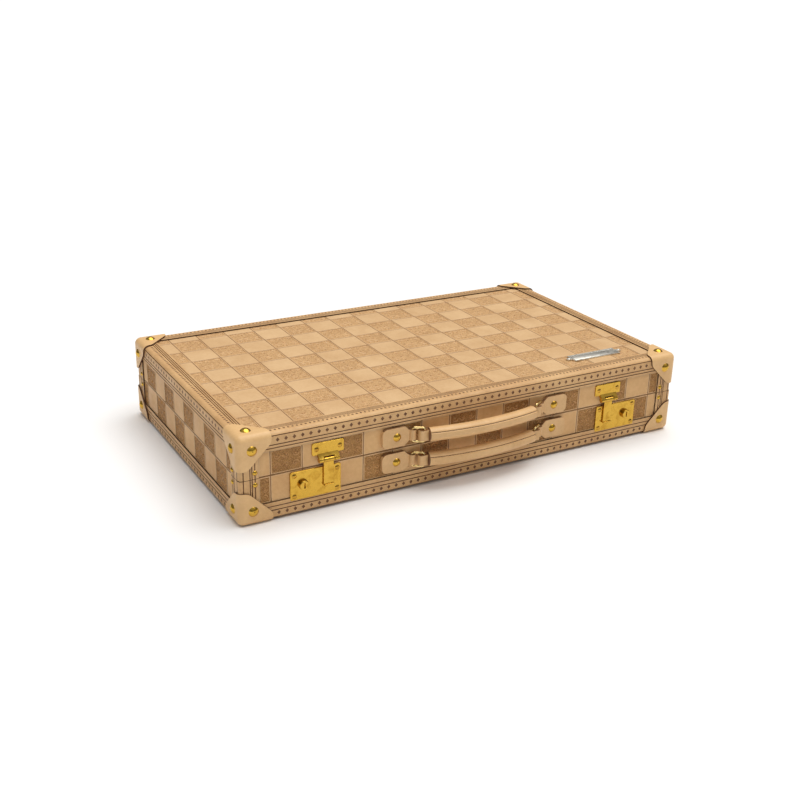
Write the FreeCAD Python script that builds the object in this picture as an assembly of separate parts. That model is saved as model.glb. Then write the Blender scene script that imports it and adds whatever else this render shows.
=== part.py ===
"""Poker chip case: two leather-covered wooden halves, hinged at the back, with locks and handles in front.

Units are millimetres, +Z is up, +X runs along the length and the front faces -Y.
Everything is drawn about the middle of the case, and the finished pieces are then moved along Y so that
the origin lies under the middle of the whole object's box.
"""
import FreeCAD, Part
import math
import os

os.makedirs("parts", exist_ok=True)

V = FreeCAD.Vector
X_AXIS = V(1, 0, 0)
Y_AXIS = V(0, 1, 0)
Z_AXIS = V(0, 0, 1)

# ---- overall sizes, measured over the corner caps ----
case_length = 420.0
case_depth = 249.0
case_height = 74.0
parting_height = 38.0
parting_gap = 0.4

# ---- walls and leather ----
wall_wood = 7.0
panel_wood = 4.0
cover_leather = 1.2
binding_leather = 1.0
cap_leather = 1.5
lining = 1.6
edge_radius = 3.0
lip_height = 4.0
lip_clearance = 0.6

# ---- binding and corner caps ----
binding_width = 14.0
corner_strip_width = 16.0
cap_from_parting = 8.0
cap_shoulder = 8.0
cap_rounding = 8.0

# ---- nails ----
cap_nail_radius = 4.1
cap_nail_dome = 2.0
cap_nail_shank = 1.0
edge_nail_radius = 2.0
edge_nail_dome = 1.1
edge_nail_shank = 0.6
edge_nail_from_parting = 5.0
edge_nail_from_end = 13.0
nail_bite = 3.0

# ---- back hinges ----
hinge_centre_x = 130.0
hinge_length = 50.0
hinge_leaf_height = 15.0
hinge_leaf = 1.2
hinge_axis_out = 3.0
hinge_knuckle_radius = 2.5
hinge_pin_radius = 1.1
hinge_knuckles = 5
hinge_screws = 3
hinge_screw_from_axis = 9.0
hinge_corner = 2.4
knuckle_gap = 0.3
running_clearance = 0.08

# ---- lid stays ----
lid_opening = 95.0
stay_arm_length = 50.0
stay_arm_width = 8.0
stay_sheet = 1.6
stay_pin_radius = 1.4
stay_side_gap = 0.4
stay_end_gap = 1.2
stay_rail_height = 7.0
stay_rail_sheet = 2.0
stay_bracket_width = 16.0
stay_bracket_from_ceiling = 3.5
stay_bracket_above_rim = 8.0

# ---- chip tray ----
chip_groove_radius = 20.2
chip_row_wall = 1.6
chip_rows = 3
tray_floor = 2.5
tray_wall = 3.0
tray_middle_wall = 8.0
tray_depth = 21.0
tray_clearance = 0.4
card_well_width = 66.0

# ---- lid pad ----
pad_thickness = 8.0
pad_margin = 11.0

# ---- locks ----
lock_inner_x = 124.5
lock_plate_length = 42.8
lock_plate_height = 23.8
lock_plate_below_rim = 1.0
lock_plate = 1.4
lock_corner = 1.2
lock_screw_inset = 3.3
screw_head_radius = 2.0
screw_head_dome = 0.8
screw_shank_radius = 1.1
lock_screw_length = 5.5
barrel_side_gap = 0.4
barrel_below_plate_top = 11.5
barrel_radius = 4.0
barrel_stand = 3.0
barrel_flange = 0.8
barrel_flange_step = 0.8
barrel_recess = 0.2
keyway_width = 1.2
keyway_length = 4.6
keyway_depth = 1.6
plate_edge = 0.3
barrel_edge = 0.6
cam_rim = 0.1
cam_pin_radius = 0.8
cam_slot_clearance = 0.3
bolt_thick = 1.6
bolt_height = 2.2
bolt_back_gap = 0.4
bolt_foot_wall = 1.0
lock_case_sheet = 0.8
lock_case_depth = 6.2
lock_case_screw_gap = 0.4

# ---- hasps ----
hasp_centre_from_inner = 11.1
hasp_width = 8.6
hasp_sheet = 1.2
hasp_plate_clearance = 0.35
hasp_pin_above_rim = 5.0
hasp_axis_out = 3.0
hasp_knuckle_radius = 2.0
hasp_pin_radius = 0.8
hasp_outer_knuckle = 4.0
hasp_length = 22.0
hasp_lip = 1.3
hasp_lip_round = 0.5
tab_clearance = 0.9
staple_width = 3.2
staple_wall = 1.1
staple_window_clearance = 0.5
notch_clearance = 0.7
upper_plate_length = 27.0
upper_plate_height = 10.2
upper_plate_above_pin = 3.8
upper_plate_shift = 0.3
tab_shoulder_out = 1.6
tab_shoulder_up = 1.2
tab_under = 1.0
upper_screw_inset_x = 3.6
upper_screw_inset_z = 5.2

# ---- handles ----
handle_from_parting = 10.8
chape_length = 27.0
chape_thick = 3.0
chape_height = 16.4
chape_neck_height = 8.8
chape_taper_from = 7.0
chape_taper_to = 3.0
chape_corner = 4.5
chape_loop_radius = 2.7
rivet_from_loop = 14.0
rivet_radius = 3.5
rivet_dome = 1.8
rivet_shank = 1.2
ring_wire = 1.0
ring_width = 9.5
ring_height = 11.8
ring_corner = 1.6
ring_tilt = 30.0
ring_bore_clearance = 0.1
loop_stand_off = 0.2
handle_travel_in = 2.0
handle_travel_out = 3.0
strap_leather = 1.3
strap_height = 8.8
strap_slack = 0.3
strap_web = 1.57
strap_bite = 1.5
strap_fold_round = 2.0
grip_half_length = 50.0
grip_radius = 5.8
grip_end_out = 8.6
grip_bow = 5.5

# ---- nameplate ----
nameplate_x = 142.7
nameplate_from_front = 33.5
nameplate_length = 50.0
nameplate_width = 13.0
nameplate_point = 4.5
nameplate_sheet = 0.9
nameplate_rim = 0.9
nameplate_field_depth = 0.35
nameplate_ear_margin = 0.8
nameplate_pin_radius = 1.1
nameplate_pin_dome = 0.7
nameplate_pin_shank = 0.5

# ---- places worked out from the sizes above ----
outside = binding_leather + cap_leather
cover_x = case_length / 2 - outside
cover_y = case_depth / 2 - outside
cover_bottom = outside
cover_top = case_height - outside
base_rim = parting_height - parting_gap / 2
lid_rim = parting_height + parting_gap / 2
inner_x = cover_x - cover_leather - wall_wood
inner_y = cover_y - cover_leather - wall_wood
lined_x = inner_x - lining
lined_y = inner_y - lining
base_floor = cover_bottom + cover_leather + panel_wood
lid_ceiling = cover_top - cover_leather - panel_wood
lip_top = base_rim + lip_height
hinge_y = cover_y + hinge_axis_out
leather_stack = cover_leather + binding_leather + cap_leather
cap_reach = case_height - parting_height - cap_from_parting
cap_nail_inset = (cap_reach + cap_shoulder) / 3
grip_arc_radius = (grip_half_length ** 2 + grip_bow ** 2) / (2 * grip_bow)
front_reach = cover_y + grip_end_out + grip_bow + grip_radius
back_reach = hinge_y + hinge_knuckle_radius
origin_shift = V(0, (front_reach - back_reach) / 2, 0)

pieces = {}


# ---- shared shapes ----
def block(x0, x1, y0, y1, z0, z1):
    """A plain block between two corners."""
    return Part.makeBox(x1 - x0, y1 - y0, z1 - z0, V(x0, y0, z0))


def front_block(x0, x1, out0, out1, z0, z1):
    """A block against the front, its depth measured outwards from the cover leather."""
    return block(x0, x1, -cover_y - out1, -cover_y - out0, z0, z1)


def back_block(x0, x1, out0, out1, z0, z1):
    """A block against the back, its depth measured outwards from the cover leather."""
    return block(x0, x1, cover_y + out0, cover_y + out1, z0, z1)


def rod(start, direction, radius, length):
    """A round bar from one end, along a direction."""
    return Part.makeCylinder(radius, length, start, direction)


def rod_x(x0, x1, y, z, radius):
    """A round bar along X."""
    return rod(V(x0, y, z), X_AXIS, radius, x1 - x0)


def mirrored_x(shape):
    """The same piece on the other end of the case."""
    return shape.mirror(V(0, 0, 0), X_AXIS)


def both_ends(shape):
    """A piece and its copy on the other end of the case."""
    return [shape, mirrored_x(shape)]


def four_corners(shape):
    """A corner piece and its copies at the other three corners."""
    pair = both_ends(shape)
    return pair + [piece.mirror(V(0, 0, 0), Y_AXIS) for piece in pair]


def joined(shapes):
    """Several solids made one."""
    first, *others = shapes
    return first.fuse(others).removeSplitter() if others else first


def group(shapes):
    """Several separate solids kept as one group."""
    return Part.makeCompound(shapes)


def parallel_edges(shape, direction):
    """The straight edges that run along a direction."""
    found = []
    for edge in shape.Edges:
        span = edge.Vertexes[-1].Point - edge.Vertexes[0].Point
        if span.Length > 0 and abs(abs(span.normalize().dot(direction)) - 1) < 1e-6:
            found.append(edge)
    return found


def edges_at(shape, axis, value):
    """The edges that lie wholly at one height of an axis (0 is X, 1 is Y, 2 is Z)."""
    return [e for e in shape.Edges if all(abs(v.Point[axis] - value) < 1e-6 for v in e.Vertexes)]


def turned_solid(profile, foot, direction):
    """A profile of (radius, height) points turned round its axis; a dome joins the last two points."""
    *straight, rim, crown = profile
    points = [V(r, 0, h) for r, h in straight + [rim]]
    edges = [Part.makeLine(a, b) for a, b in zip(points, points[1:])]
    sphere = (rim[0] ** 2 + (crown[1] - rim[1]) ** 2) / (2 * (crown[1] - rim[1]))
    half = math.asin(min(1.0, rim[0] / sphere)) / 2
    centre = crown[1] - sphere
    middle = V(sphere * math.sin(half), 0, centre + sphere * math.cos(half))
    top = V(0, 0, crown[1])
    edges.append(Part.Arc(points[-1], middle, top).toShape())
    edges.append(Part.makeLine(top, points[0]))
    solid = Part.Face(Part.Wire(edges)).revolve(V(0, 0, 0), Z_AXIS, 360)
    solid.Placement = FreeCAD.Placement(foot, FreeCAD.Rotation(Z_AXIS, direction))
    return solid


def domed_nail(foot, direction, head, dome, shank, length):
    """A nail or rivet: its foot is where the flat underside of the head sits."""
    return turned_solid([(0, -length), (shank, -length), (shank, 0), (head, 0), (0, dome)], foot, direction)


def screw_part(foot, direction, length):
    """A round-headed screw: its foot is where the flat underside of the head sits."""
    return domed_nail(foot, direction, screw_head_radius, screw_head_dome, screw_shank_radius, length)


def half_block(half, grow):
    """One half of the case as a solid block, grown outwards from the face of the cover leather."""
    x = cover_x + grow
    y = cover_y + grow
    low, high = (cover_bottom - grow, base_rim) if half == "base" else (lid_rim, cover_top + grow)
    solid = block(-x, x, -y, y, low, high)
    outer = low if half == "base" else high
    return solid.makeFillet(edge_radius + grow, parallel_edges(solid, Z_AXIS) + edges_at(solid, 2, outer))


# ---- shells, leather and linings ----
def shell_parts(half):
    """Wooden box and the leather glued round it."""
    base = half == "base"
    wood = half_block(half, -cover_leather)
    cover = half_block(half, 0.0).cut(wood)
    low, high = (base_floor, base_rim) if base else (lid_rim, lid_ceiling)
    wood = wood.cut(block(-inner_x, inner_x, -inner_y, inner_y, low, high))
    if not base:
        rebate_x = inner_x + lip_clearance
        rebate_y = inner_y + lip_clearance
        wood = wood.cut(block(-rebate_x, rebate_x, -rebate_y, rebate_y, lid_rim, lip_top + lip_clearance))
    return wood, cover


def lining_part(half):
    """Lining glued inside; the base's is five boards, whose walls stand above its rim as the lip for the lid."""
    if half == "base":
        foot = base_floor + lining
        boards = [block(-inner_x, inner_x, -inner_y, inner_y, base_floor, foot)]
        for x0, x1 in ((-inner_x, -lined_x), (lined_x, inner_x)):
            boards.append(block(x0, x1, -inner_y, inner_y, foot, lip_top))
        for y0, y1 in ((-inner_y, -lined_y), (lined_y, inner_y)):
            boards.append(block(-lined_x, lined_x, y0, y1, foot, lip_top))
        return group(boards)
    foot = lip_top + lip_clearance
    outer = block(-inner_x, inner_x, -inner_y, inner_y, foot, lid_ceiling)
    return outer.cut(block(-lined_x, lined_x, -lined_y, lined_y, foot, lid_ceiling - lining))


def binding_parts(half):
    """The frame of raised leather round the outer edges, and the four strips down the upright corners."""
    base = half == "base"
    skin = half_block(half, binding_leather).cut(half_block(half, 0.0))
    edge_x = cover_x + binding_leather
    edge_y = cover_y + binding_leather
    if base:
        outer = cover_bottom - binding_leather
        band = outer + binding_width
        frame_zone = block(-edge_x, edge_x, -edge_y, edge_y, outer, band)
        strip_low, strip_high = band, base_rim
    else:
        outer = cover_top + binding_leather
        band = outer - binding_width
        frame_zone = block(-edge_x, edge_x, -edge_y, edge_y, band, outer)
        strip_low, strip_high = lid_rim, band
    window_x = edge_x - binding_width
    window_y = edge_y - binding_width
    window = block(-window_x, window_x, -window_y, window_y, 0, case_height)
    frame = skin.common(frame_zone).cut(window)
    corner = block(edge_x - corner_strip_width, edge_x, edge_y - corner_strip_width, edge_y,
                   strip_low, strip_high)
    return [frame] + four_corners(skin.common(corner))


def cap_prism(axes, corner, inward):
    """The cap's outline on one face, run right through the corner."""
    first, second, third = axes
    margin = 1.0
    outline = [
        (-margin, -margin),
        (cap_reach, -margin),
        (cap_reach, cap_shoulder),
        (cap_shoulder, cap_reach),
        (-margin, cap_reach),
    ]
    points = []
    for along, across in outline:
        point = [corner[0], corner[1], corner[2]]
        point[first] += inward[first] * along
        point[second] += inward[second] * across
        point[third] -= inward[third] * margin
        points.append(V(*point))
    depth = [0.0, 0.0, 0.0]
    depth[third] = inward[third] * (cap_reach + 2 * margin)
    prism = Part.Face(Part.makePolygon(points + points[:1])).extrude(V(*depth))
    shoulders = []
    for edge in parallel_edges(prism, V(*depth).normalize()):
        if any((edge.Vertexes[0].Point - points[k]).cross(V(*depth)).Length < 1e-3 for k in (2, 3)):
            shoulders.append(edge)
    return prism.makeFillet(cap_rounding, shoulders)


def cap_parts(half):
    """Four leather caps over the outer corners."""
    base = half == "base"
    shell = half_block(half, outside).cut(half_block(half, binding_leather))
    corner = V(case_length / 2, case_depth / 2, 0 if base else case_height)
    inward = (-1, -1, 1 if base else -1)
    cap = shell
    for axes in ((0, 1, 2), (0, 2, 1), (1, 2, 0)):
        cap = cap.common(cap_prism(axes, corner, inward))
    return four_corners(cap)


def cap_nail_parts(half):
    """One nail in each face of each cap; those underneath have flat heads let in flush."""
    base = half == "base"
    x = case_length / 2
    y = case_depth / 2
    inset = cap_nail_inset
    level = inset if base else case_height - inset
    length = leather_stack + nail_bite
    nails = [
        domed_nail(V(x - inset, y, level), Y_AXIS, cap_nail_radius, cap_nail_dome, cap_nail_shank, length),
        domed_nail(V(x, y - inset, level), X_AXIS, cap_nail_radius, cap_nail_dome, cap_nail_shank, length),
    ]
    if base:
        head = rod(V(x - inset, y - inset, 0), Z_AXIS, cap_nail_radius, cap_leather)
        shank = rod(V(x - inset, y - inset, 0), Z_AXIS, cap_nail_shank, length)
        nails.append(joined([head, shank]))
    else:
        foot = V(x - inset, y - inset, case_height)
        nails.append(domed_nail(foot, Z_AXIS, cap_nail_radius, cap_nail_dome, cap_nail_shank, length))
    return [copy for nail in nails for copy in four_corners(nail)]


def edge_nail_parts(half):
    """Small nails in the corner strips, beside the parting line."""
    level = parting_height + (-edge_nail_from_parting if half == "base" else edge_nail_from_parting)
    x = cover_x + binding_leather
    y = cover_y + binding_leather
    length = cover_leather + binding_leather + nail_bite
    sizes = (edge_nail_radius, edge_nail_dome, edge_nail_shank, length)
    nails = [
        domed_nail(V(x - edge_nail_from_end, y, level), Y_AXIS, *sizes),
        domed_nail(V(x, y - edge_nail_from_end, level), X_AXIS, *sizes),
    ]
    return [copy for nail in nails for copy in four_corners(nail)]


# ---- back hinges ----
def hinge_leaf_part(half):
    """One leaf with its share of the knuckles, still without screw holes."""
    base = half == "base"
    end = hinge_length / 2
    x = hinge_centre_x
    low, high = (parting_height - hinge_leaf_height, base_rim) if base else (
        lid_rim, parting_height + hinge_leaf_height)
    leaf = back_block(x - end, x + end, 0, hinge_leaf, low, high)
    outer = low if base else high
    corners = [e for e in parallel_edges(leaf, Y_AXIS) if abs(e.Vertexes[0].Point.z - outer) < 1e-6]
    leaf = leaf.makeFillet(hinge_corner, corners)
    share = hinge_length / hinge_knuckles
    knuckles = []
    spaces = []
    for index in range(hinge_knuckles):
        x0 = x - end + index * share
        if (index % 2 == 0) == base:
            knuckles.append(rod_x(x0 + knuckle_gap / 2, x0 + share - knuckle_gap / 2,
                                  hinge_y, parting_height, hinge_knuckle_radius))
        else:
            spaces.append(rod_x(x0 - knuckle_gap / 2, x0 + share + knuckle_gap / 2,
                                hinge_y, parting_height, hinge_knuckle_radius + knuckle_gap))
    bore = rod_x(x - end, x + end, hinge_y, parting_height, hinge_pin_radius + running_clearance)
    return joined([leaf.cut(group(spaces))] + knuckles).cut(bore)


def hinge_screw_parts(half):
    """Screws through one leaf."""
    level = parting_height + (-hinge_screw_from_axis if half == "base" else hinge_screw_from_axis)
    spacing = hinge_length / hinge_screws
    screws = []
    for index in range(hinge_screws):
        x = hinge_centre_x + (index - (hinge_screws - 1) / 2) * spacing
        foot = V(x, cover_y + hinge_leaf, level)
        length = hinge_leaf + cover_leather + nail_bite
        screws += both_ends(screw_part(foot, Y_AXIS, length))
    return screws


# ---- lid stays ----
rail_end = stay_pin_radius + stay_rail_sheet
stay_end_room = max(stay_arm_width / 2 + stay_end_gap, rail_end)
stay_nearest = hinge_axis_out + cover_leather + wall_wood + lining + stay_end_room
stay_fold = math.degrees(math.acos(stay_nearest / (2 * stay_arm_length)))
stay_start = math.radians(lid_opening - stay_fold)
stay_pivot_y = hinge_y - stay_arm_length * math.cos(stay_start)
stay_pivot_z = parting_height - stay_arm_length * math.sin(stay_start)
stay_far_y = hinge_y - 2 * stay_arm_length
stay_stop_y = hinge_y - stay_nearest
rail_inner_x = lined_x - stay_rail_sheet
arm_outer_x = rail_inner_x - stay_side_gap
arm_inner_x = arm_outer_x - stay_sheet
bracket_outer_x = arm_inner_x - stay_side_gap
bracket_inner_x = bracket_outer_x - stay_sheet


def stay_rail_part():
    """Slotted rail on the base's side wall, in line with the hinge axis."""
    half = stay_rail_height / 2
    rail = block(rail_inner_x, lined_x, stay_far_y - rail_end, stay_stop_y + rail_end,
                 parting_height - half, parting_height + half)
    slot_radius = stay_pin_radius + running_clearance
    slot = joined([
        rod_x(rail_inner_x, lined_x, stay_far_y, parting_height, slot_radius),
        rod_x(rail_inner_x, lined_x, stay_stop_y, parting_height, slot_radius),
        block(rail_inner_x, lined_x, stay_far_y, stay_stop_y,
              parting_height - slot_radius, parting_height + slot_radius),
    ])
    return rail.cut(slot)


def stay_arm_part():
    """Flat arm from the lid's bracket to the pin that slides in the rail."""
    width = stay_arm_width / 2
    bar = block(arm_inner_x, arm_outer_x, -stay_arm_length, 0, -width, width)
    ends = [rod_x(arm_inner_x, arm_outer_x, y, 0, width) for y in (-stay_arm_length, 0)]
    pin = rod_x(arm_outer_x, lined_x - stay_side_gap, -stay_arm_length, 0, stay_pin_radius)
    arm = joined([bar] + ends + [pin])
    arm = arm.cut(rod_x(arm_inner_x, arm_outer_x, 0, 0, stay_pin_radius + running_clearance))
    arm.rotate(V(0, 0, 0), X_AXIS, -math.degrees(stay_start))
    arm.translate(V(0, stay_pivot_y, stay_pivot_z))
    return arm


def stay_bracket_part():
    """Bracket that hangs the arm's pivot from the lid's side wall."""
    y0 = stay_pivot_y - stay_bracket_width / 2
    y1 = stay_pivot_y + stay_bracket_width / 2
    eye_y0 = stay_pivot_y - stay_arm_width / 2
    eye_y1 = stay_pivot_y + stay_arm_width / 2
    foot = lid_rim + stay_bracket_above_rim
    top = lid_ceiling - lining - stay_bracket_from_ceiling
    foot_block = block(bracket_inner_x, lined_x, y0, y1, foot, top)
    plate = block(bracket_inner_x, bracket_outer_x, eye_y0, eye_y1, stay_pivot_z, top)
    eye = rod_x(bracket_inner_x, bracket_outer_x, stay_pivot_y, stay_pivot_z, stay_arm_width / 2)
    pin = rod_x(bracket_outer_x, arm_outer_x, stay_pivot_y, stay_pivot_z, stay_pin_radius)
    return joined([foot_block, plate, eye, pin])


# ---- chip tray and lid pad ----
tray_bottom = base_floor + lining
tray_top = tray_bottom + tray_depth
tray_half_x = bracket_inner_x - tray_clearance
tray_half_y = lined_y - tray_clearance
chip_row_pitch = 2 * chip_groove_radius + chip_row_wall
tray_step = stay_pivot_z - stay_arm_width / 2 - tray_clearance


def tray_part():
    """Tray with half-round chip rows in front and wells for cards, dice and dealer button behind."""
    foot_x = lined_x - tray_clearance
    tray = joined([
        block(-foot_x, foot_x, -tray_half_y, tray_half_y, tray_bottom, min(tray_step, tray_top)),
        block(-tray_half_x, tray_half_x, -tray_half_y, tray_half_y, tray_bottom, tray_top),
    ])
    axis_z = tray_bottom + tray_floor + chip_groove_radius
    row_start = tray_middle_wall / 2
    row_end = tray_half_x - tray_wall
    hollows = []
    for row in range(chip_rows):
        y = -tray_half_y + tray_wall + chip_groove_radius + row * chip_row_pitch
        hollows.append(rod_x(row_start, row_end, y, axis_z, chip_groove_radius))
    last_row = -tray_half_y + tray_wall + 2 * chip_groove_radius + (chip_rows - 1) * chip_row_pitch
    well_front = last_row + tray_wall
    well_back = tray_half_y - tray_wall
    well_floor = tray_bottom + tray_floor
    card_end = row_start + card_well_width
    hollows.append(block(row_start, card_end, well_front, well_back, well_floor, tray_top))
    hollows.append(block(card_end + tray_wall, row_end, well_front, well_back, well_floor, tray_top))
    return tray.cut(group([copy for hollow in hollows for copy in both_ends(hollow)]))


def pad_part():
    """Padded panel under the lid's top."""
    top = lid_ceiling - lining
    x = lined_x - pad_margin
    y = lined_y - pad_margin
    return block(-x, x, -y, y, top - pad_thickness, top)


# ---- locks (drawn at the right-hand end) ----
lock_outer_x = lock_inner_x + lock_plate_length
lock_top = base_rim - lock_plate_below_rim
lock_bottom = lock_top - lock_plate_height
case_x0 = lock_inner_x + lock_screw_inset + screw_shank_radius + lock_case_screw_gap
case_x1 = lock_outer_x - lock_screw_inset - screw_shank_radius - lock_case_screw_gap
barrel_flange_radius = barrel_radius + barrel_flange_step
barrel_x = case_x1 - lock_case_sheet - barrel_side_gap - barrel_flange_radius
barrel_z = lock_top - barrel_below_plate_top
hasp_x = lock_inner_x + hasp_centre_from_inner
hasp_pin_z = parting_height + hasp_pin_above_rim
hasp_back_out = lock_plate + hasp_plate_clearance
hasp_foot = hasp_pin_z - hasp_length
cam_radius = barrel_flange_radius - cam_pin_radius - cam_rim
cam_start = math.radians(45.0)
cam_x = barrel_x + cam_radius * math.cos(cam_start)
cam_lift = cam_radius * math.sin(cam_start)
bolt_low = barrel_z + cam_radius + cam_pin_radius + cam_slot_clearance
bolt_high = bolt_low + bolt_height
bolt_front_out = -(barrel_recess + barrel_flange + bolt_back_gap)
bolt_back_out = bolt_front_out - bolt_thick
staple_window = staple_window_clearance
staple_low = bolt_low - staple_window - staple_wall
staple_high = bolt_high + staple_window + staple_wall
staple_in = bolt_back_out - staple_window - staple_wall
staple_swing = math.hypot(hasp_axis_out - staple_in, hasp_pin_z - staple_low)
notch_bottom = hasp_pin_z - staple_swing - notch_clearance
notch_half = staple_width / 2 + notch_clearance
case_z0 = barrel_z - barrel_flange_radius - lock_case_sheet - lock_case_screw_gap
case_z1 = lock_top


def lock_case_block():
    """The room that the lock takes in the front wall."""
    return front_block(case_x0, case_x1, -lock_case_depth, 0, case_z0, case_z1)


def staple_channel():
    """The way up for the staple, from the lock to the base's rim and out in front."""
    return front_block(hasp_x - notch_half, hasp_x + notch_half, staple_in - notch_clearance, lock_plate,
                       notch_bottom, base_rim)


def lock_plate_part():
    """Front plate with its barrel hole and the open notch for the staple."""
    plate = front_block(lock_inner_x, lock_outer_x, 0, lock_plate, lock_bottom, lock_top)
    plate = plate.makeFillet(lock_corner, parallel_edges(plate, Y_AXIS))
    plate = plate.makeChamfer(plate_edge, edges_at(plate, 1, -cover_y - lock_plate))
    hole = rod(V(barrel_x, -cover_y, barrel_z), -Y_AXIS, barrel_radius + running_clearance, lock_plate)
    return plate.cut(hole).cut(staple_channel())


def lock_screw_parts():
    """Four screws through the lock plate."""
    screws = []
    for x in (lock_inner_x + lock_screw_inset, lock_outer_x - lock_screw_inset):
        for z in (lock_bottom + lock_screw_inset, lock_top - lock_screw_inset):
            foot = V(x, -cover_y - lock_plate, z)
            length = lock_plate + lock_screw_length
            screws.append(screw_part(foot, -Y_AXIS, length))
    return screws


def lock_case_part():
    """Sheet box behind the plate, open in front and where the staple comes down."""
    sheet = lock_case_sheet
    room = front_block(case_x0 + sheet, case_x1 - sheet, -lock_case_depth + sheet, 0,
                       case_z0 + sheet, case_z1 - sheet)
    return lock_case_block().cut(room).cut(staple_channel())


def barrel_part():
    """Round key barrel with its flange behind the plate and the pin that drives the bolt."""
    inner = -barrel_recess - barrel_flange
    outer = lock_plate + barrel_stand
    body = rod(V(barrel_x, -cover_y - inner, barrel_z), -Y_AXIS, barrel_radius, outer - inner)
    body = body.makeFillet(barrel_edge, edges_at(body, 1, -cover_y - outer))
    flange = rod(V(barrel_x, -cover_y - inner, barrel_z), -Y_AXIS, barrel_flange_radius, barrel_flange)
    pin_length = inner - bolt_back_out + cam_slot_clearance
    pin = rod(V(cam_x, -cover_y - inner, barrel_z + cam_lift), Y_AXIS, cam_pin_radius, pin_length)
    slot = front_block(barrel_x - keyway_width / 2, barrel_x + keyway_width / 2, outer - keyway_depth, outer,
                       barrel_z - keyway_length / 2, barrel_z + keyway_length / 2)
    return joined([body, flange, pin]).cut(slot)


def bolt_part():
    """Sliding bolt with the slotted foot that the barrel's pin moves."""
    tip = hasp_x + staple_width / 2 + notch_clearance
    slot_half = cam_pin_radius + cam_slot_clearance
    heel = cam_x + slot_half + bolt_foot_wall
    bar = front_block(tip, heel, bolt_back_out, bolt_front_out, bolt_low, bolt_high)
    foot = front_block(cam_x - slot_half - bolt_foot_wall, heel, bolt_back_out, bolt_front_out,
                       barrel_z + cam_lift - slot_half, bolt_low)
    slot = front_block(cam_x - slot_half, cam_x + slot_half, bolt_back_out, bolt_front_out,
                       barrel_z + cam_lift - slot_half, bolt_low)
    return joined([bar, foot.cut(slot)])


# ---- hasps (drawn at the right-hand end) ----
def hasp_upper_part():
    """Plate on the lid with the bent tab that carries the outer knuckles."""
    x0 = hasp_x - upper_plate_length / 2 - upper_plate_shift
    low = hasp_pin_z + upper_plate_above_pin
    plate = front_block(x0, x0 + upper_plate_length, 0, hasp_sheet, low, low + upper_plate_height)
    plate = plate.makeFillet(lock_corner, parallel_edges(plate, Y_AXIS))
    plate = plate.makeChamfer(plate_edge, edges_at(plate, 1, -cover_y - hasp_sheet))
    reach = hasp_width / 2 + knuckle_gap + hasp_outer_knuckle
    rise = [
        V(0, -cover_y, low + hasp_sheet),
        V(0, -cover_y - hasp_sheet, low + hasp_sheet),
        V(0, -cover_y - hasp_axis_out - tab_shoulder_out, hasp_pin_z + tab_shoulder_up),
        V(0, -cover_y - hasp_axis_out, hasp_pin_z + tab_under),
        V(0, -cover_y, low - hasp_sheet),
    ]
    tab = Part.Face(Part.makePolygon(rise + rise[:1])).extrude(V(2 * reach, 0, 0))
    tab.translate(V(hasp_x - reach, 0, 0))
    y = -cover_y - hasp_axis_out
    spans = ((-reach, -hasp_width / 2 - knuckle_gap), (hasp_width / 2 + knuckle_gap, reach))
    knuckles = [rod_x(hasp_x + a, hasp_x + b, y, hasp_pin_z, hasp_knuckle_radius) for a, b in spans]
    room = hasp_width / 2 + knuckle_gap
    swing = rod_x(hasp_x - room, hasp_x + room, y, hasp_pin_z, hasp_knuckle_radius + tab_clearance)
    return joined([plate, tab.cut(swing)] + knuckles).cut(hasp_pin_part())


def hasp_screw_parts():
    """Two screws through the upper plate."""
    x0 = hasp_x - upper_plate_length / 2 - upper_plate_shift
    z = hasp_pin_z + upper_plate_above_pin + upper_screw_inset_z
    screws = []
    for x in (x0 + upper_screw_inset_x, x0 + upper_plate_length - upper_screw_inset_x):
        foot = V(x, -cover_y - hasp_sheet, z)
        length = hasp_sheet + cover_leather + nail_bite
        screws.append(screw_part(foot, -Y_AXIS, length))
    return screws


def hasp_pin_part():
    """Pin held in the outer knuckles."""
    reach = hasp_width / 2 + knuckle_gap + hasp_outer_knuckle
    return rod_x(hasp_x - reach, hasp_x + reach, -cover_y - hasp_axis_out, hasp_pin_z, hasp_pin_radius)


def hasp_part():
    """Swinging hasp: middle knuckle, leaf with a finger lip, and the staple that the bolt passes through."""
    half = hasp_width / 2
    y = -cover_y - hasp_axis_out
    knuckle = rod_x(hasp_x - half, hasp_x + half, y, hasp_pin_z, hasp_knuckle_radius)
    front = hasp_back_out + hasp_sheet
    leaf = front_block(hasp_x - half, hasp_x + half, hasp_back_out, front, hasp_foot, hasp_pin_z)
    lip = front_block(hasp_x - half, hasp_x + half, hasp_back_out, front + hasp_lip,
                      hasp_foot, hasp_foot + hasp_sheet)
    lip = lip.makeFillet(hasp_lip_round, edges_at(lip, 1, -cover_y - front - hasp_lip))
    staple = front_block(hasp_x - staple_width / 2, hasp_x + staple_width / 2, staple_in, hasp_back_out,
                         staple_low, staple_high)
    window = front_block(hasp_x - half, hasp_x + half, staple_in + staple_wall,
                         bolt_front_out + staple_window, staple_low + staple_wall, staple_high - staple_wall)
    bore = rod_x(hasp_x - half, hasp_x + half, y, hasp_pin_z, hasp_pin_radius + running_clearance)
    return joined([knuckle, leaf, lip, staple.cut(window)]).cut(bore)


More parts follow.
